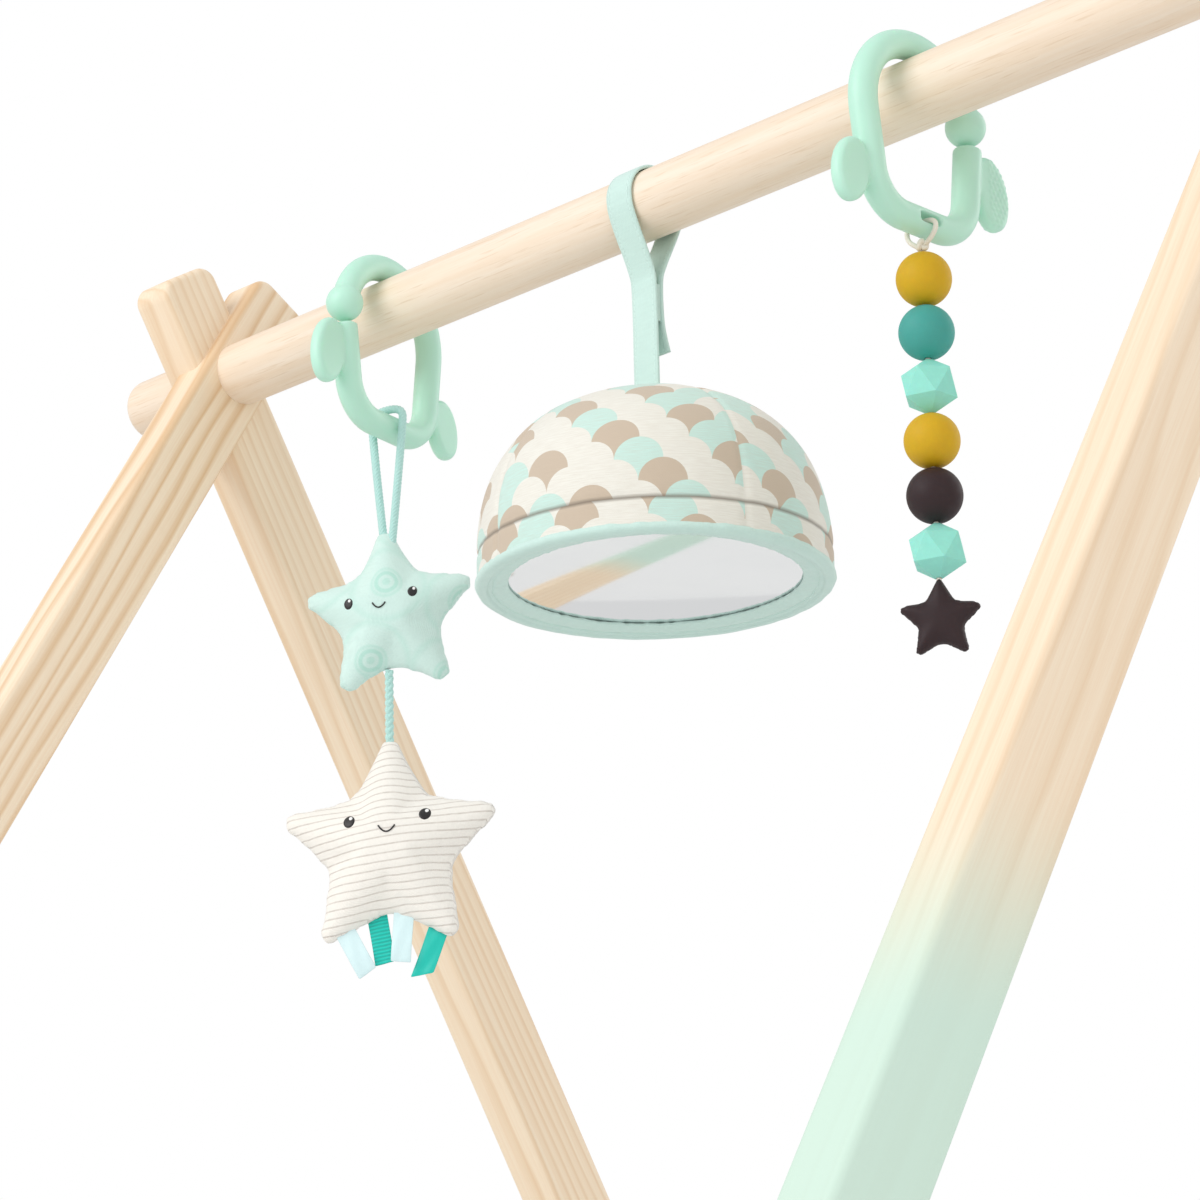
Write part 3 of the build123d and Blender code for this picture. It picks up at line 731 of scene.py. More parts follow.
def panel_mesh(outline, spacing):
    """A flat panel inside an outline: its points, its triangles, and each point's distance from the edge."""
    low, high = outline.min(0), outline.max(0)
    inner = []
    for row, up in enumerate(np.arange(low[1], high[1], spacing * 0.866)):
        for across in np.arange(low[0] + (row % 2) * spacing / 2, high[0], spacing):
            inner.append((across, up))
    inner = np.array(inner)
    edges = np.roll(outline, -1, axis=0) - outline
    offsets = inner[:, None, :] - outline[None, :, :]
    along = np.clip((offsets * edges).sum(2) / (edges**2).sum(1), 0, 1)
    distance = np.linalg.norm(offsets - along[:, :, None] * edges, axis=2).min(1)
    crossings = (outline[None, :, 1] > inner[:, None, 1]) != (np.roll(outline, -1, axis=0)[None, :, 1]
                                                                > inner[:, None, 1])
    slope = edges[:, 0] / np.where(edges[:, 1] == 0, 1e-12, edges[:, 1])
    hits = crossings & (inner[:, None, 0] < outline[None, :, 0] + slope * (inner[:, None, 1] - outline[None, :, 1]))
    kept = (hits.sum(1) % 2 == 1) & (distance > spacing * 0.55)
    points = np.concatenate((outline, inner[kept]))
    distance = np.concatenate((np.zeros(len(outline)), distance[kept]))
    result = delaunay_2d_cdt([Vector(point) for point in points], [], [list(range(len(outline)))], 1, 1e-9)
    order = [sources[0] for sources in result[3]]
    faces = [tuple(order[corner] for corner in face) for face in result[2]]
    return points, faces, distance


def plumped(distance, thickness):
    """The height of a stuffed panel, from each point's distance from the seam."""
    share = np.clip(distance / distance.max(), 0, 1)
    return thickness / 2 * np.sqrt(1 - (1 - share) ** 2.2)


def blown(points, faces, pressure, frames, grow, pinned=()):
    """Closed cloth's points after a cloth simulation blows it up. grow is the scale that it runs at."""
    mesh = mesh_from("blown", points * grow, faces)
    cloth_piece = bpy.data.objects.new("blown", mesh)
    bpy.context.scene.collection.objects.link(cloth_piece)
    modifier = cloth_piece.modifiers.new("cloth", "CLOTH")
    settings = modifier.settings
    settings.quality = 7
    settings.mass = 0.15
    settings.tension_stiffness = settings.compression_stiffness = 25
    settings.shear_stiffness = 8
    settings.bending_stiffness = 0.25
    settings.use_pressure = True
    settings.uniform_pressure_force = pressure
    settings.effector_weights.gravity = 0
    if len(pinned):
        group = cloth_piece.vertex_groups.new(name="pins")
        group.add([int(index) for index in pinned], 1.0, "REPLACE")
        settings.vertex_group_mass = "pins"
    modifier.point_cache.frame_start = 1
    modifier.point_cache.frame_end = frames
    for frame_number in range(1, frames + 1):
        bpy.context.scene.frame_set(frame_number)
    graph = bpy.context.evaluated_depsgraph_get()
    result = np.empty(len(points) * 3)
    cloth_piece.evaluated_get(graph).data.vertices.foreach_get("co", result)
    bpy.context.scene.frame_set(1)
    bpy.data.objects.remove(cloth_piece)
    bpy.data.meshes.remove(mesh)
    return result.reshape(-1, 3) / grow


def two_panels(outline, spacing, thickness):
    """Two stuffed panels sewn together at their outline: points, faces and UV places."""
    flat, triangles, distance = panel_mesh(outline, spacing)
    seam, count = len(outline), len(flat)
    height = plumped(distance, thickness)
    front = np.column_stack((flat, height))
    back = np.column_stack((flat[seam:], -height[seam:]))
    mirror = list(range(seam)) + [index + count - seam for index in range(seam, count)]
    faces = list(triangles) + [tuple(mirror[corner] for corner in reversed(face)) for face in triangles]
    return np.concatenate((front, back)), faces, np.concatenate((flat, flat[seam:] + (0.3, 0.1)))


def capped(move, most):
    """Moves cut short where they are longer than most."""
    size = np.linalg.norm(move, axis=1, keepdims=True)
    return move * np.minimum(1, most / np.maximum(size, 1e-9))


def plush_star(radius, waist, tip, corner, thickness, spacing):
    """A stuffed star sewn from two panels: points, faces and UV places."""
    start, faces, uvs = two_panels(star_outline(radius, waist, tip, corner, spacing), spacing, thickness)
    points = blown(start * (1.06, 1.06, 0.55), faces, pressure=5.0, frames=24, grow=14.0)
    low, high = start.min(0), start.max(0)
    now_low, now_high = points.min(0), points.max(0)
    points = (points - (now_low + now_high) / 2) * ((high - low) / (now_high - now_low)) + (low + high) / 2
    points[:, :2] = start[:, :2] + capped(points[:, :2] - start[:, :2], 1.1 * MM)
    return relaxed(points, faces, 1), faces, uvs


def relaxed(points, faces, rounds):
    """Points moved towards the middle of their neighbours, a few times."""
    pairs = np.array([(face[step], face[(step + 1) % len(face)]) for face in faces for step in range(len(face))])
    for _ in range(rounds):
        total = np.zeros_like(points)
        share = np.zeros(len(points))
        for first, second in ((0, 1), (1, 0)):
            np.add.at(total, pairs[:, first], points[pairs[:, second]])
            np.add.at(share, pairs[:, first], 1)
        points = points + 0.5 * (total / share[:, None] - points)
    return points


def upright(points, centre):
    """Points in a star's own plane, set up facing TOY_FRONT about a centre."""
    axes = np.array((tuple(TOY_RIGHT), (0, 0, 1), tuple(TOY_FRONT)))
    return np.asarray(points) @ axes + np.array(tuple(centre))


def onto(tree, across, up, centre, lift):
    """The point on a star's front at this place in its plane, lifted off it."""
    start = Vector(upright([(across, up, 0.1)], centre)[0])
    place, normal, _, _ = tree.ray_cast(start, -TOY_FRONT)
    if place is None:
        raise RuntimeError("the face of a star misses its cloth")
    return place + normal * lift


# =====================================================================
# Pieces
# =====================================================================
class GYM_OT_camera(bpy.types.Operator):
    """Place the camera low at the right front, looking up at the toys"""
    bl_idname = "gym.camera"
    bl_label = "Camera"

    def execute(self, context):
        data = bpy.data.cameras.new("camera")
        data.sensor_width = 36
        data.lens = 120.45
        data.clip_start = 0.01
        camera = bpy.data.objects.new("camera", data)
        context.scene.collection.objects.link(camera)
        turn, rise, roll = (math.radians(angle) for angle in (44.6, 17.7, -1.36))
        ahead = Vector((-math.sin(turn) * math.cos(rise), math.cos(turn) * math.cos(rise), math.sin(rise)))
        level = Vector((math.cos(turn), math.sin(turn), 0))
        above = level.cross(ahead)
        right = level * math.cos(roll) + above * math.sin(roll)
        up = above * math.cos(roll) - level * math.sin(roll)
        axes = Matrix((right, up, -ahead)).transposed().to_4x4()
        camera.matrix_world = Matrix.Translation((0.8989, -0.9732, -0.0395)) @ axes
        context.scene.camera = camera
        return {"FINISHED"}


class GYM_OT_cords(bpy.types.Operator):
    """Braid the stars' two cords and the bead cord with its knot"""
    bl_idname = "gym.cords"
    bl_label = "Cords"

    def execute(self, context):
        colours, _ = gym()
        aqua, white = yarn("aqua_cord", colours.cord_aqua), yarn("white_cord", colours.cord_white)

        loop = [
            (-0.1747, -0.0003, 0.4448), (-0.1802, -0.0014, 0.4920), (-0.1802, -0.0014, 0.5003),
            (-0.1658, 0.0014, 0.5003), (-0.1658, 0.0014, 0.4920), (-0.1713, 0.0003, 0.4448),
        ]
        piece, line = braided("star_loop", loop, 3.2 * MM, 6, 9 * MM, 0.5, "small_star", aqua,
                              ["star_loop_cord"])

        link = [(-0.173, 0, 0.39607), (-0.173, 0, 0.3796), (-0.173, 0, 0.36307)]
        piece, line = braided("star_link", link, 3.4 * MM, 3, 8 * MM, 0.62, "big_star", aqua,
                              ["star_link_cord"], flat=True)

        beads = [
            (0.0960, 0, 0.3547), (0.0960, 0, 0.4726), (0.0960, 0, 0.4834), (0.0896, 0, 0.4875),
            (0.0896, 0, 0.4930), (0.1024, 0, 0.4930), (0.1024, 0, 0.4875), (0.0972, 0, 0.4844),
        ]
        knot = self.knot(white)
        piece, line = braided("bead_line", beads, 1.8 * MM, 6, 5 * MM, 0.5, "bead_string", white,
                              ["bead_cord"])
        return {"FINISHED"}

    def knot(self, material):
        """The knot below the ring: a short length tied round itself."""
        low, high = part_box("bead_knot")
        centre, size = (low + high) / 2, (high.z - low.z) / 2
        strand = 0.85 * MM
        wide = size - strand
        turns = np.linspace(0, 2 * math.pi, 96, endpoint=False)
        path = [
            centre + Vector((
                wide * (math.sin(turn) + 2 * math.sin(2 * turn)) / 3,
                wide * (math.cos(turn) - 2 * math.cos(2 * turn)) / 3,
                -wide * 0.9 * math.sin(3 * turn),
            ))
            for turn in turns
        ]
        sides = 10
        frames = frames_along(path + path[:1])[:-1]
        points = [point for here, across, up in frames for point in circle(here, across, up, strand, sides)]
        mesh = mesh_from("bead_tie", points, grid_faces(len(frames), sides, wrap_rows=True))
        return finished(mesh, "bead_string", material, ["bead_knot"])


class GYM_OT_frame(bpy.types.Operator):
    """Give the crossbar and the legs their wood, and the feet their paint"""
    bl_idname = "gym.wooden_frame"
    bl_label = "Wooden frame"

    def execute(self, context):
        lean = math.radians(31.4)
        coat("crossbar", birch())
        coat("left_front_leg", pine("pine_front", lean, seed=0.37, contrast=0.62))
        coat("left_back_leg", pine("pine_back", -lean, seed=1.91, contrast=0.26))
        coat("right_front_leg", pine("dipped_pine_front", lean, seed=2.83, contrast=0.10))
        coat("right_back_leg", pine("dipped_pine_back", -lean, seed=4.12, contrast=0.30))
        return {"FINISHED"}


class GYM_OT_rings(bpy.types.Operator):
    """Mould the two link rings, the right one with a pimpled leaf"""
    bl_idname = "gym.rings"
    bl_label = "Link rings"

    def execute(self, context):
        plastic = moulded()
        for name, body, pimpled in (("left_link_ring", "left_ring", False), ("right_link_ring", "right_ring", True)):
            mesh = frame["nodes"][name].data.copy()
            mesh.name = name.replace("link", "moulded")
            ring = finished(mesh, body, plastic, [name])
            remesh = ring.modifiers.new("remesh", "REMESH")
            remesh.mode = "VOXEL"
            remesh.voxel_size = 0.62 * MM
            rounding = ring.modifiers.new("rounding", "SMOOTH")
            rounding.factor = 0.5
            rounding.iterations = 9
            applied(ring)
            ring.data.shade_smooth()
            if pimpled:
                self.pimple(ring.data)
        return {"FINISHED"}

    def pimple(self, mesh):
        """Raise small pimples on both faces of the leaf at the mouth."""
        x, _, z = RIGHT_RING
        centre_y, centre_z = 37.2 * MM, z + 20.7 * MM
        pitch = 2.3 * MM
        for vertex in mesh.vertices:
            across, up = vertex.co.y - centre_y, vertex.co.z - centre_z
            inside = 1 - (across / (8.0 * MM)) ** 2 - (up / (13.0 * MM)) ** 2
            if inside < 0.08 or abs(vertex.co.x - x) < 1.5 * MM or vertex.co.y < 34.5 * MM:
                continue
            row = round(up / (pitch * 0.866))
            shift = pitch / 2 if row % 2 else 0.0
            column = round((across - shift) / pitch)
            away = math.hypot(across - shift - column * pitch, up - row * pitch * 0.866)
            lift = 0.35 * MM * max(0.0, 1 - (away / (0.95 * MM)) ** 2)
            vertex.co.x += math.copysign(lift, vertex.co.x - x)


class GYM_OT_stars(bpy.types.Operator):
    """Sew and stuff the two plush stars, with their faces and ribbons"""
    bl_idname = "gym.stars"
    bl_label = "Plush stars"

    def execute(self, context):
        colours, _ = gym()
        dark = thread_of("dark_thread", colours.thread_dark)
        white = thread_of("white_thread", (0.9, 0.9, 0.9, 1))
        eyes = {"small_star": ((-13.8, 3.4), (11.0, 6.4), (-1.6, 2.4), (2.0, 2.5), 2.5),
                "big_star": ((-13.5, 8.8), (15.0, 10.3), (1.2, 6.0), (2.5, 2.8), 3.1)}
        shapes = {
            "small_star": (38.0, 0.56, 5.0, 8.0, 20.0, 3.5, printed_mint(), "mint_print_cloth"),
            "big_star": (46.7, 0.555, 4.5, 7.0, 24.0, 0.0, striped(), "striped_cloth"),
        }
        for name, (radius, waist, tip, corner, thickness, lean, material, slot) in shapes.items():
            low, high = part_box(f"{name}_cover")
            points, faces, uvs = plush_star(radius * MM, waist, tip * MM, corner * MM, thickness * MM, 2.0 * MM)
            top, bottom = points[:, 1].max(), points[:, 1].min()
            scale = (high.z - low.z) / (top - bottom)
            points = points * (scale, scale, 1)
            hinge = np.array((0, 10 * MM, 0))
            turned = Matrix.Rotation(math.radians(lean), 3, "Z")
            points = (points - hinge) @ np.array(turned).T + hinge
            centre = Vector((LEFT_RING.x, 0, high.z - top * scale))
            mesh = mesh_from(f"{name}_plush", upright(points, centre), faces, uvs)
            plush = finished(mesh, name, material, [f"{name}_cover", f"{name}_stuffing"], subdivide=1)
            tree = BVHTree.FromPolygons([vertex.co for vertex in plush.data.vertices],
                                        [list(polygon.vertices) for polygon in plush.data.polygons])
            left, right, smile, size, width = eyes[name]
            for side, place in (("left", left), ("right", right)):
                self.spot(f"{name}_{side}_eye", tree, centre, place, size, 0.35, dark, name, slot)
                glint = (place[0] + size[0] * 0.25, place[1] + size[1] * 0.38)
                self.spot(f"{name}_{side}_glint", tree, centre, glint, (size[0] * 0.33, size[1] * 0.30), 0.62,
                          white, name, slot)
            self.smile(f"{name}_smile", tree, centre, smile, width, dark, name, slot)
        self.tags(Vector((LEFT_RING.x, 0, 0)))
        return {"FINISHED"}

    def spot(self, name, tree, centre, place, size, lift, material, body, slot):
        """A raised oval of embroidery on a star's front."""
        rings, sides = 5, 28
        points = [onto(tree, place[0] * MM, place[1] * MM, centre, lift * MM)]
        for ring in range(1, rings + 1):
            share = ring / rings
            height = lift * MM * math.sqrt(max(0.0, 1 - share**2.5)) - (0.25 * MM if ring == rings else 0)
            for side in range(sides):
                angle = 2 * math.pi * side / sides
                points.append(onto(tree, (place[0] + size[0] * share * math.cos(angle)) * MM,
                                   (place[1] + size[1] * share * math.sin(angle)) * MM, centre, height))
        finished(mesh_from(name, points, disc_faces(rings, sides)), body, material)

    def smile(self, name, tree, centre, place, width, material, body, slot):
        """A sewn smile: a thin line of thread on a star's front."""
        line = []
        for part in np.linspace(-1, 1, 25):
            across = (place[0] + width * part) * MM
            up = (place[1] - 1.9 * (1 - part * part) * width / 2.4) * MM
            line.append(onto(tree, across, up, centre, 0.12 * MM))
        sections = [circle(here, across, up, 0.32 * MM) for here, across, up in frames_along(line)]
        finished(mesh_from(name, *swept(line, sections)), body, material)

    def tags(self, foot):
        """The four ribbons in the big star's bottom seam."""
        colours, _ = gym()
        pale = ribbon("pale_ribbon", colours.ribbon_pale, False)
        ribbed = ribbon("teal_ribbon", colours.ribbon_teal, True)
        satin = ribbon("teal_satin", colours.ribbon_teal, False)
        kinds = {
            "tag_pale_left": (pale, "pale_ribbon", 28.0, 0.10, 1.2),
            "tag_teal_left": (ribbed, "teal_ribbon", 9.0, 0.05, -0.9),
            "tag_pale_right": (pale, "pale_ribbon", -4.0, -0.06, 0.9),
            "tag_teal_right": (satin, "teal_ribbon", -21.0, 0.55, -1.1),
        }
        for name, (material, slot, lean, slant, bow) in kinds.items():
            middle_point = middle(name)
            tilt = math.radians(lean)
            down = Vector((math.sin(tilt), -math.cos(tilt)))
            out = Vector((math.cos(tilt), math.sin(tilt)))
            centre = Vector(((middle_point - foot).dot(TOY_RIGHT), middle_point.z))
            depth = (middle_point - foot).dot(TOY_FRONT)
            rows, columns = 20, 9
            points, uvs = [], []
            for face in (1, -1):
                for row in range(rows):
                    share = row / (rows - 1)
                    for column in range(columns):
                        across = (column / (columns - 1) - 0.5) * 7.7 * MM
                        reach = 19 * MM * share - 9.5 * MM - slant * across * share
                        place = centre + down * reach + out * across
                        bend = bow * MM * math.sin(math.pi * share * 0.9) * share
                        thin = 0.28 * MM * (0.25 if column in (0, columns - 1) or row == rows - 1 else 1)
                        height = depth + bend + face * thin + 0.12 * MM * math.sin(across / MM * 1.1 + row * 0.3)
                        points.append(foot + TOY_RIGHT * place.x + Vector((0, 0, place.y)) + TOY_FRONT * height)
                        uvs.append((reach, across))
            faces = grid_faces(rows, columns, wrap_columns=False)
            back = [tuple(index + rows * columns for index in reversed(face)) for face in faces]
            rim = list(range(columns)) + [row * columns + columns - 1 for row in range(1, rows)]
            rim += [(rows - 1) * columns + column for column in range(columns - 2, -1, -1)]
            rim += [row * columns for row in range(rows - 2, 0, -1)]
            sides = [
                (rim[step], rim[(step + 1) % len(rim)], rim[(step + 1) % len(rim)] + rows * columns,
                 rim[step] + rows * columns)
                for step in range(len(rim))
            ]
            mesh = mesh_from(name.replace("tag", "ribbon"), points, faces + back + sides, uvs)
            recalculated(mesh)
            finished(mesh, "big_star", material, [name], subdivide=1)


def recalculated(mesh):
    """Turn a closed mesh's faces outward."""
    work = bmesh.new()
    work.from_mesh(mesh)
    bmesh.ops.recalc_face_normals(work, faces=work.faces)
    work.to_mesh(mesh)
    work.free()


class GYM_OT_mirror(bpy.types.Operator):
    """Sew the mirror dome: panels, band, binding, facing ring and strap"""
    bl_idname = "gym.mirror"
    bl_label = "Mirror dome"

    def execute(self, context):
        colours, _ = gym()
        mint = cloth("mint_cloth", colours.cloth_mint)
        self.dome(scale_print())
        self.rim(mint.material)
        self.facing(mint.material)
        self.strap(colours)
        coat("mirror_plate", mirror_glass())
        coat("mirror_backing", cloth("board", colour("D8CFC0"), pitch=1.2 * MM).material)
        return {"FINISHED"}

    def profile(self, rise):
        """The dome's outline from its seam, 0, to its crown, 1, as shares of its radius and height."""
        rest, full = 1 - rise, 0.64
        out = rest**3 + 3 * rest * rest * rise + 3 * rest * rise * rise * full
        up = 3 * rest * rest * rise * full + 3 * rest * rise * rise + rise**3
        return out, up

    def dome(self, material):
        """The printed cover and its band, in four panels that swell between their seams."""
        columns, rows = 288, 74
        height = DOME.crown - DOME.seam
        points, pinned = [], []
        for row in range(rows):
            rise = (row - 8) / (rows - 8)
            for column in range(columns):
                turn = DOME.first_seam + 2 * math.pi * column / columns
                if rise < 0:
                    out, up = DOME.radius, DOME.seam + (DOME.seam - DOME.base) * rise * (rows - 8) / 8
                else:
                    out, up = self.profile(rise)
                    out, up = out * DOME.radius, DOME.seam + up * height
                points.append((DOME_X + out * math.cos(turn), out * math.sin(turn), up))
                if row in (0, 8) or column % (columns // 4) == 0 or row > rows - 3:
                    pinned.append(len(points) - 1)
        points.append((DOME_X, 0, DOME.crown))
        faces = grid_faces(rows, columns)
        faces += [((rows - 1) * columns + column, (rows - 1) * columns + (column + 1) % columns, rows * columns)
                  for column in range(columns)]
        start = np.array(points)
        middle_point = np.array((DOME_X, 0, DOME.seam))
        points = start.copy()
        swelled = blown(start, faces, pressure=2.2, frames=14, grow=10.0, pinned=pinned)
        points += capped(swelled - start, 2.2 * MM)
        for index, point in enumerate(points[:-1]):
            row, column = divmod(index, columns)
            outward = point - middle_point
            outward[2] = max(outward[2], 0)
            outward /= max(np.linalg.norm(outward), 1e-9)
            width = np.hypot(point[0] - DOME_X, point[1])
            off = abs((column + columns // 8) % (columns // 4) - columns // 8) * 2 * math.pi / columns * width
            level = abs(point[2] - DOME.seam)
            fold = noise.noise(Vector((point[0], point[1], point[2] * 0.4)) * 160)
            near = 0.9 * math.exp(-(off / (1.1 * MM)) ** 2) + 0.8 * math.exp(-(level / (0.9 * MM)) ** 2)
            pucker = 0.45 * fold * (math.exp(-off / (5 * MM)) + math.exp(-level / (6 * MM)))
            soft = 0.5 * noise.noise(Vector(point) * 42)
            point += outward * (pucker + soft - min(near, 1.0)) * MM
        mesh = mesh_from("printed_dome", points, faces)
        piece = finished(mesh, "mirror_toy", material, ["dome_cover", "dome_band", "dome_padding"],
                         subdivide=1)

    def rim(self, material):
        """The padded binding round the mouth, with gathers and sewn grooves."""
        low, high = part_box("rim_binding")
        major = (high.x - low.x) / 2 - 3.1 * MM
        columns, sides = 420, 30
        points = []
        for column in range(columns):
            turn = 2 * math.pi * column / columns
            gather = noise.noise(Vector((math.cos(turn), math.sin(turn), 0.3)) * 9)
            ripple = noise.noise(Vector((math.cos(turn), math.sin(turn), 2.1)) * 34)
            for side in range(sides):
                angle = 2 * math.pi * side / sides
                swell = 0.25 * gather + 0.22 * ripple * max(0, math.cos(angle - 0.5))
                groove = 0.7 * math.exp(-((angle - 4.1) / 0.16) ** 2)
                out = major + (3.2 + swell - groove) * MM * math.cos(angle)
                up = DOME.base - 0.1 * MM + (2.2 + swell - groove) * MM * math.sin(angle)
                points.append((DOME_X + out * math.cos(turn), out * math.sin(turn), up))
        mesh = mesh_from("rim_cord", points, grid_faces(columns, sides, wrap_rows=True))
        recalculated(mesh)
        piece = finished(mesh, "mirror_toy", material, ["rim_binding"])

    def facing(self, material):
        """The softly padded ring of cloth that holds the mirror, puckered towards its rolled inner edge."""
        low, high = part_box("mirror_facing")
        inner, outer = 52.2 * MM, (high.x - low.x) / 2 - 0.6 * MM
        columns = 480
        ring = []
        for share in np.linspace(1, 0, 14):
            height = low.z + 0.2 * MM - 1.1 * MM * math.sin(math.pi * share)
            ring.append((inner + (outer - inner) * share, height, share))
        for angle in np.linspace(-2.0, -4.5, 8):
            ring.append((inner + 0.6 * MM * math.cos(angle), low.z + 0.75 * MM + 0.6 * MM * math.sin(angle), 0))
        for share in np.linspace(0.2, 1, 5):
            ring.append((inner + (outer - inner) * share, high.z - 0.1 * MM, None))
        points = []
        for column in range(columns):
            turn = 2 * math.pi * column / columns
            square = 0.45 * MM * math.cos(4 * (turn - math.radians(-0.5)))
            for out, up, share in ring:
                pull = noise.noise(Vector((math.cos(turn) * 20, math.sin(turn) * 20, (share or 0) * 1.5)))
                lift = 0.38 * MM * pull * (1 - 0.6 * share) if share is not None else 0
                draw = square * (1 - share) if share is not None else 0
                points.append((DOME_X + (out - draw) * math.cos(turn), (out - draw) * math.sin(turn), up + lift))
        mesh = mesh_from("mirror_surround", points, grid_faces(columns, len(ring), wrap_rows=True))
        recalculated(mesh)
        piece = finished(mesh, "mirror_toy", material, ["mirror_facing"])

    def strap(self, colours):
        """The strap, up the front, over the crossbar and down the back to its loose end."""
        low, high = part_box("mirror_strap")
        width, thick = (high.x - low.x), 1.6 * MM
        loop = high.z - BAR_Z - thick / 2
        run = 1.5 * MM
        route = [(-run, low.z), (-run, BAR_Z - 44 * MM), (-run, BAR_Z - 31 * MM), (-run - 1 * MM, BAR_Z - 26 * MM),
                 (-loop * 0.93, BAR_Z - 6 * MM)]
        route += [(-loop * math.cos(angle), BAR_Z + loop * math.sin(angle))
                  for angle in np.linspace(0, math.pi, 17)]
        route += [(loop * 0.93, BAR_Z - 6 * MM), (run + 1 * MM, BAR_Z - 26 * MM), (run, BAR_Z - 31 * MM),
                  (run, BAR_Z - 46 * MM), (run + 1.5 * MM, BAR_Z - 52 * MM), (4.6 * MM, BAR_Z - 57 * MM)]
        line, total = resampled([(DOME_X, y, z) for y, z in smooth_line(route)], 1.0 * MM)
        rows = len(line)
        points, uvs = [], []
        half, flat = width / 2 - 0.3 * MM, thick / 2 - 0.15 * MM
        outline = [(-half, 0), (-half + 0.4 * MM, flat * 0.9), (-half + 1.5 * MM, flat), (-half / 3, flat * 1.05),
                   (half / 3, flat * 1.05), (half - 1.5 * MM, flat), (half - 0.4 * MM, flat * 0.9), (half, 0),
                   (half - 0.4 * MM, -flat * 0.9), (half - 1.5 * MM, -flat), (half / 3, -flat * 1.05),
                   (-half / 3, -flat * 1.05), (-half + 1.5 * MM, -flat), (-half + 0.4 * MM, -flat * 0.9)]
        for index, here in enumerate(line):
            ahead = Vector(line[min(index + 1, rows - 1)]) - Vector(line[max(index - 1, 0)])
            ahead.normalize()
            normal = Vector((1, 0, 0)).cross(ahead)
            wave = 0.22 * MM * noise.noise(Vector((3.0, here[1] * 60, here[2] * 60)))
            for across, up in outline:
                points.append(Vector(here) + Vector((across + wave, 0, 0)) + normal * up)
                uvs.append((index * 1.0 * MM, across))
        faces = grid_faces(rows, len(outline))
        faces += [tuple(reversed(range(len(outline)))), tuple((rows - 1) * len(outline) + corner
                                                                for corner in range(len(outline)))]
        mesh = mesh_from("strap", points, faces, uvs)
        recalculated(mesh)
        material = webbing("strap_webbing", colours.cloth_mint, 4.6 * MM)
        piece = finished(mesh, "mirror_toy", material, ["mirror_strap"])
        tape = cloth("hook_tape", shade(colours.cloth_mint, 0.9), pitch=1.1 * MM, depth=0.3 * MM)
        for name in ("strap_hook_patch", "strap_loop_patch"):
            coat(name, tape.material)


def smooth_line(route):
    """A smooth line through the corners of a flat route."""
    points = np.array(route)
    for _ in range(3):
        quarter = points[:-1] * 0.75 + points[1:] * 0.25
        threequarter = points[:-1] * 0.25 + points[1:] * 0.75
        inner = np.stack((quarter, threequarter), axis=1).reshape(-1, 2)
        points = np.concatenate((points[:1], inner, points[-1:]))
    return points


class GYM_OT_beads(bpy.types.Operator):
    """Finish the silicone beads, and mould the ribbed star bead"""
    bl_idname = "gym.beads"
    bl_label = "Beads"

    def execute(self, context):
        colours, _ = gym()
        finishes = {
            "mustard": silicone("mustard_silicone", colours.mustard),
            "teal": silicone("teal_silicone", colours.teal),
            "gem": silicone("aqua_silicone", colours.aqua),
            "plum": silicone("plum_silicone", colours.plum),
        }
        for name in frame["nodes"]:
            for kind, finish in finishes.items():
                if name.startswith("bead_") and kind in name:
                    coat(name, finish)
        self.star(finishes["plum"])
        return {"FINISHED"}

    def star(self, material):
        """A plump star with fine ridges across it."""
        low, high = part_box("bead_star")
        outline = star_outline(15.7 * MM, 0.50, 1.7 * MM, 2.2 * MM, 0.7 * MM)
        points, faces, _ = two_panels(outline, 0.7 * MM, 8.91 * MM)
        points = relaxed(points, faces, 4)
        ridge = 0.13 * MM * np.cos(points[:, 1] * 2 * math.pi / (1.25 * MM))
        points[:, 2] += np.sign(points[:, 2]) * ridge * np.clip(np.abs(points[:, 2]) / (1.5 * MM), 0, 1)
        top, bottom = points[:, 1].max(), points[:, 1].min()
        points[:, :2] *= (high.z - low.z) / (top - bottom)
        centre = Vector((RIGHT_RING.x, 0, high.z - points[:, 1].max()))
        mesh = mesh_from("star_bead", upright(points, centre), faces)
        finished(mesh, "bead_star_body", material, ["bead_star"])


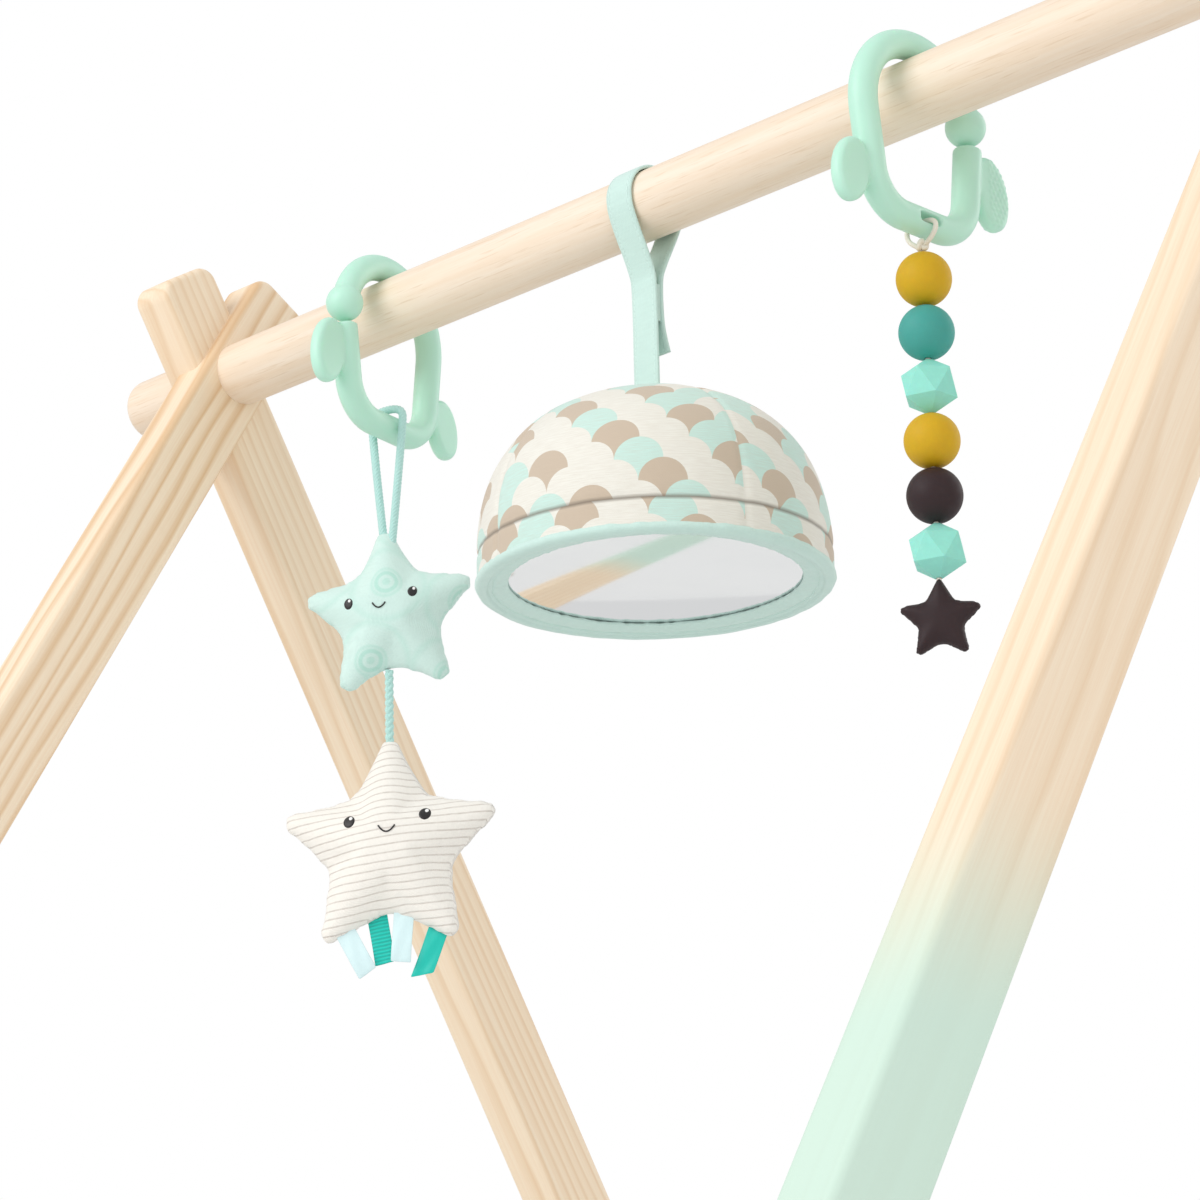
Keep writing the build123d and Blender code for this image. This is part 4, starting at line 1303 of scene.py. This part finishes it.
class GYM_OT_stage(bpy.types.Operator):
    """Set out the round floor, the soft lights and the pale surroundings"""
    bl_idname = "gym.stage"
    bl_label = "Stage"

    def execute(self, context):
        _, sizes = gym()
        rings, sides = 24, 96
        points = [(0, 0, 0)]
        for ring in range(1, rings + 1):
            for side in range(sides):
                angle = 2 * math.pi * side / sides
                out = sizes.floor_radius * ring / rings
                points.append((out * math.cos(angle), out * math.sin(angle), 0))
        mesh = mesh_from("floor", points, disc_faces(rings, sides))
        floor = bpy.data.objects.new("floor", mesh)
        context.scene.collection.objects.link(floor)
        pale = Finish("floor_paper", (0.86, 0.86, 0.85, 1), 0.9)
        grain = pale.noise(pale.place, 30.0, 3.0)
        pale.paint(pale.mix(pale.ramp(grain, (0.3, 0.0), (0.8, 0.4)), (0.87, 0.87, 0.86, 1), (0.83, 0.83, 0.83, 1)))
        mesh.materials.append(pale.material)

        world = bpy.data.worlds.new("studio")
        context.scene.world = world
        world.use_nodes = True
        tree = world.node_tree
        tree.nodes.clear()
        output = tree.nodes.new("ShaderNodeOutputWorld")
        seen, light = tree.nodes.new("ShaderNodeBackground"), tree.nodes.new("ShaderNodeBackground")
        seen.inputs["Color"].default_value = light.inputs["Color"].default_value = (1, 1, 1, 1)
        seen.inputs["Strength"].default_value = 1.0
        light.inputs["Strength"].default_value = 0.71
        path, mix = tree.nodes.new("ShaderNodeLightPath"), tree.nodes.new("ShaderNodeMixShader")
        tree.links.new(path.outputs["Is Camera Ray"], mix.inputs[0])
        tree.links.new(light.outputs[0], mix.inputs[1])
        tree.links.new(seen.outputs[0], mix.inputs[2])
        tree.links.new(mix.outputs[0], output.inputs[0])

        for name, place, aim, size, power in (
            ("key", (-0.5, -2.0, 1.5), (-0.05, 0, 0.4), 1.4, 26.0),
            ("fill", (1.9, -0.6, 0.7), (0, 0, 0.4), 1.5, 7.0),
            ("back", (0.4, 1.9, 1.3), (0, 0, 0.4), 1.2, 7.0),
        ):
            data = bpy.data.lights.new(name, "AREA")
            data.size = size
            data.energy = power
            lamp = bpy.data.objects.new(name, data)
            context.scene.collection.objects.link(lamp)
            lamp.location = place
            lamp.rotation_euler = (Vector(aim) - Vector(place)).to_track_quat("-Z", "Y").to_euler()
        context.scene.view_settings.view_transform = "Standard"
        return {"FINISHED"}


OPERATORS = (
    GYM_OT_camera, GYM_OT_cords, GYM_OT_frame, GYM_OT_rings, GYM_OT_stars, GYM_OT_mirror, GYM_OT_beads, GYM_OT_stage,
)


class GYM_PT_panel(bpy.types.Panel):
    """Lists the gym's pieces, colours and sizes."""
    bl_label = "Play Gym"
    bl_idname = "GYM_PT_panel"
    bl_space_type = "VIEW_3D"
    bl_region_type = "UI"
    bl_category = "Play Gym"

    def draw(self, context):
        for kind in OPERATORS:
            self.layout.operator(kind.bl_idname)
        for settings in gym():
            for name in type(settings).__annotations__:
                self.layout.prop(settings, name)


CLASSES = (GymColours, GymSizes, *OPERATORS, GYM_PT_panel)


def register():
    """Register the classes and the scene's settings."""
    for kind in CLASSES:
        bpy.utils.register_class(kind)
    bpy.types.Scene.gym_colours = PointerProperty(type=GymColours)
    bpy.types.Scene.gym_sizes = PointerProperty(type=GymSizes)


def unregister():
    """Take the settings and the classes away again."""
    del bpy.types.Scene.gym_sizes
    del bpy.types.Scene.gym_colours
    for kind in reversed(CLASSES):
        bpy.utils.unregister_class(kind)


def main():
    """Make every piece in order."""
    register()
    bpy.ops.gym.camera()
    bpy.ops.gym.cords()
    bpy.ops.gym.wooden_frame()
    bpy.ops.gym.rings()
    bpy.ops.gym.stars()
    bpy.ops.gym.mirror()
    bpy.ops.gym.beads()
    bpy.ops.gym.stage()


if __name__ == "__main__":
    main()
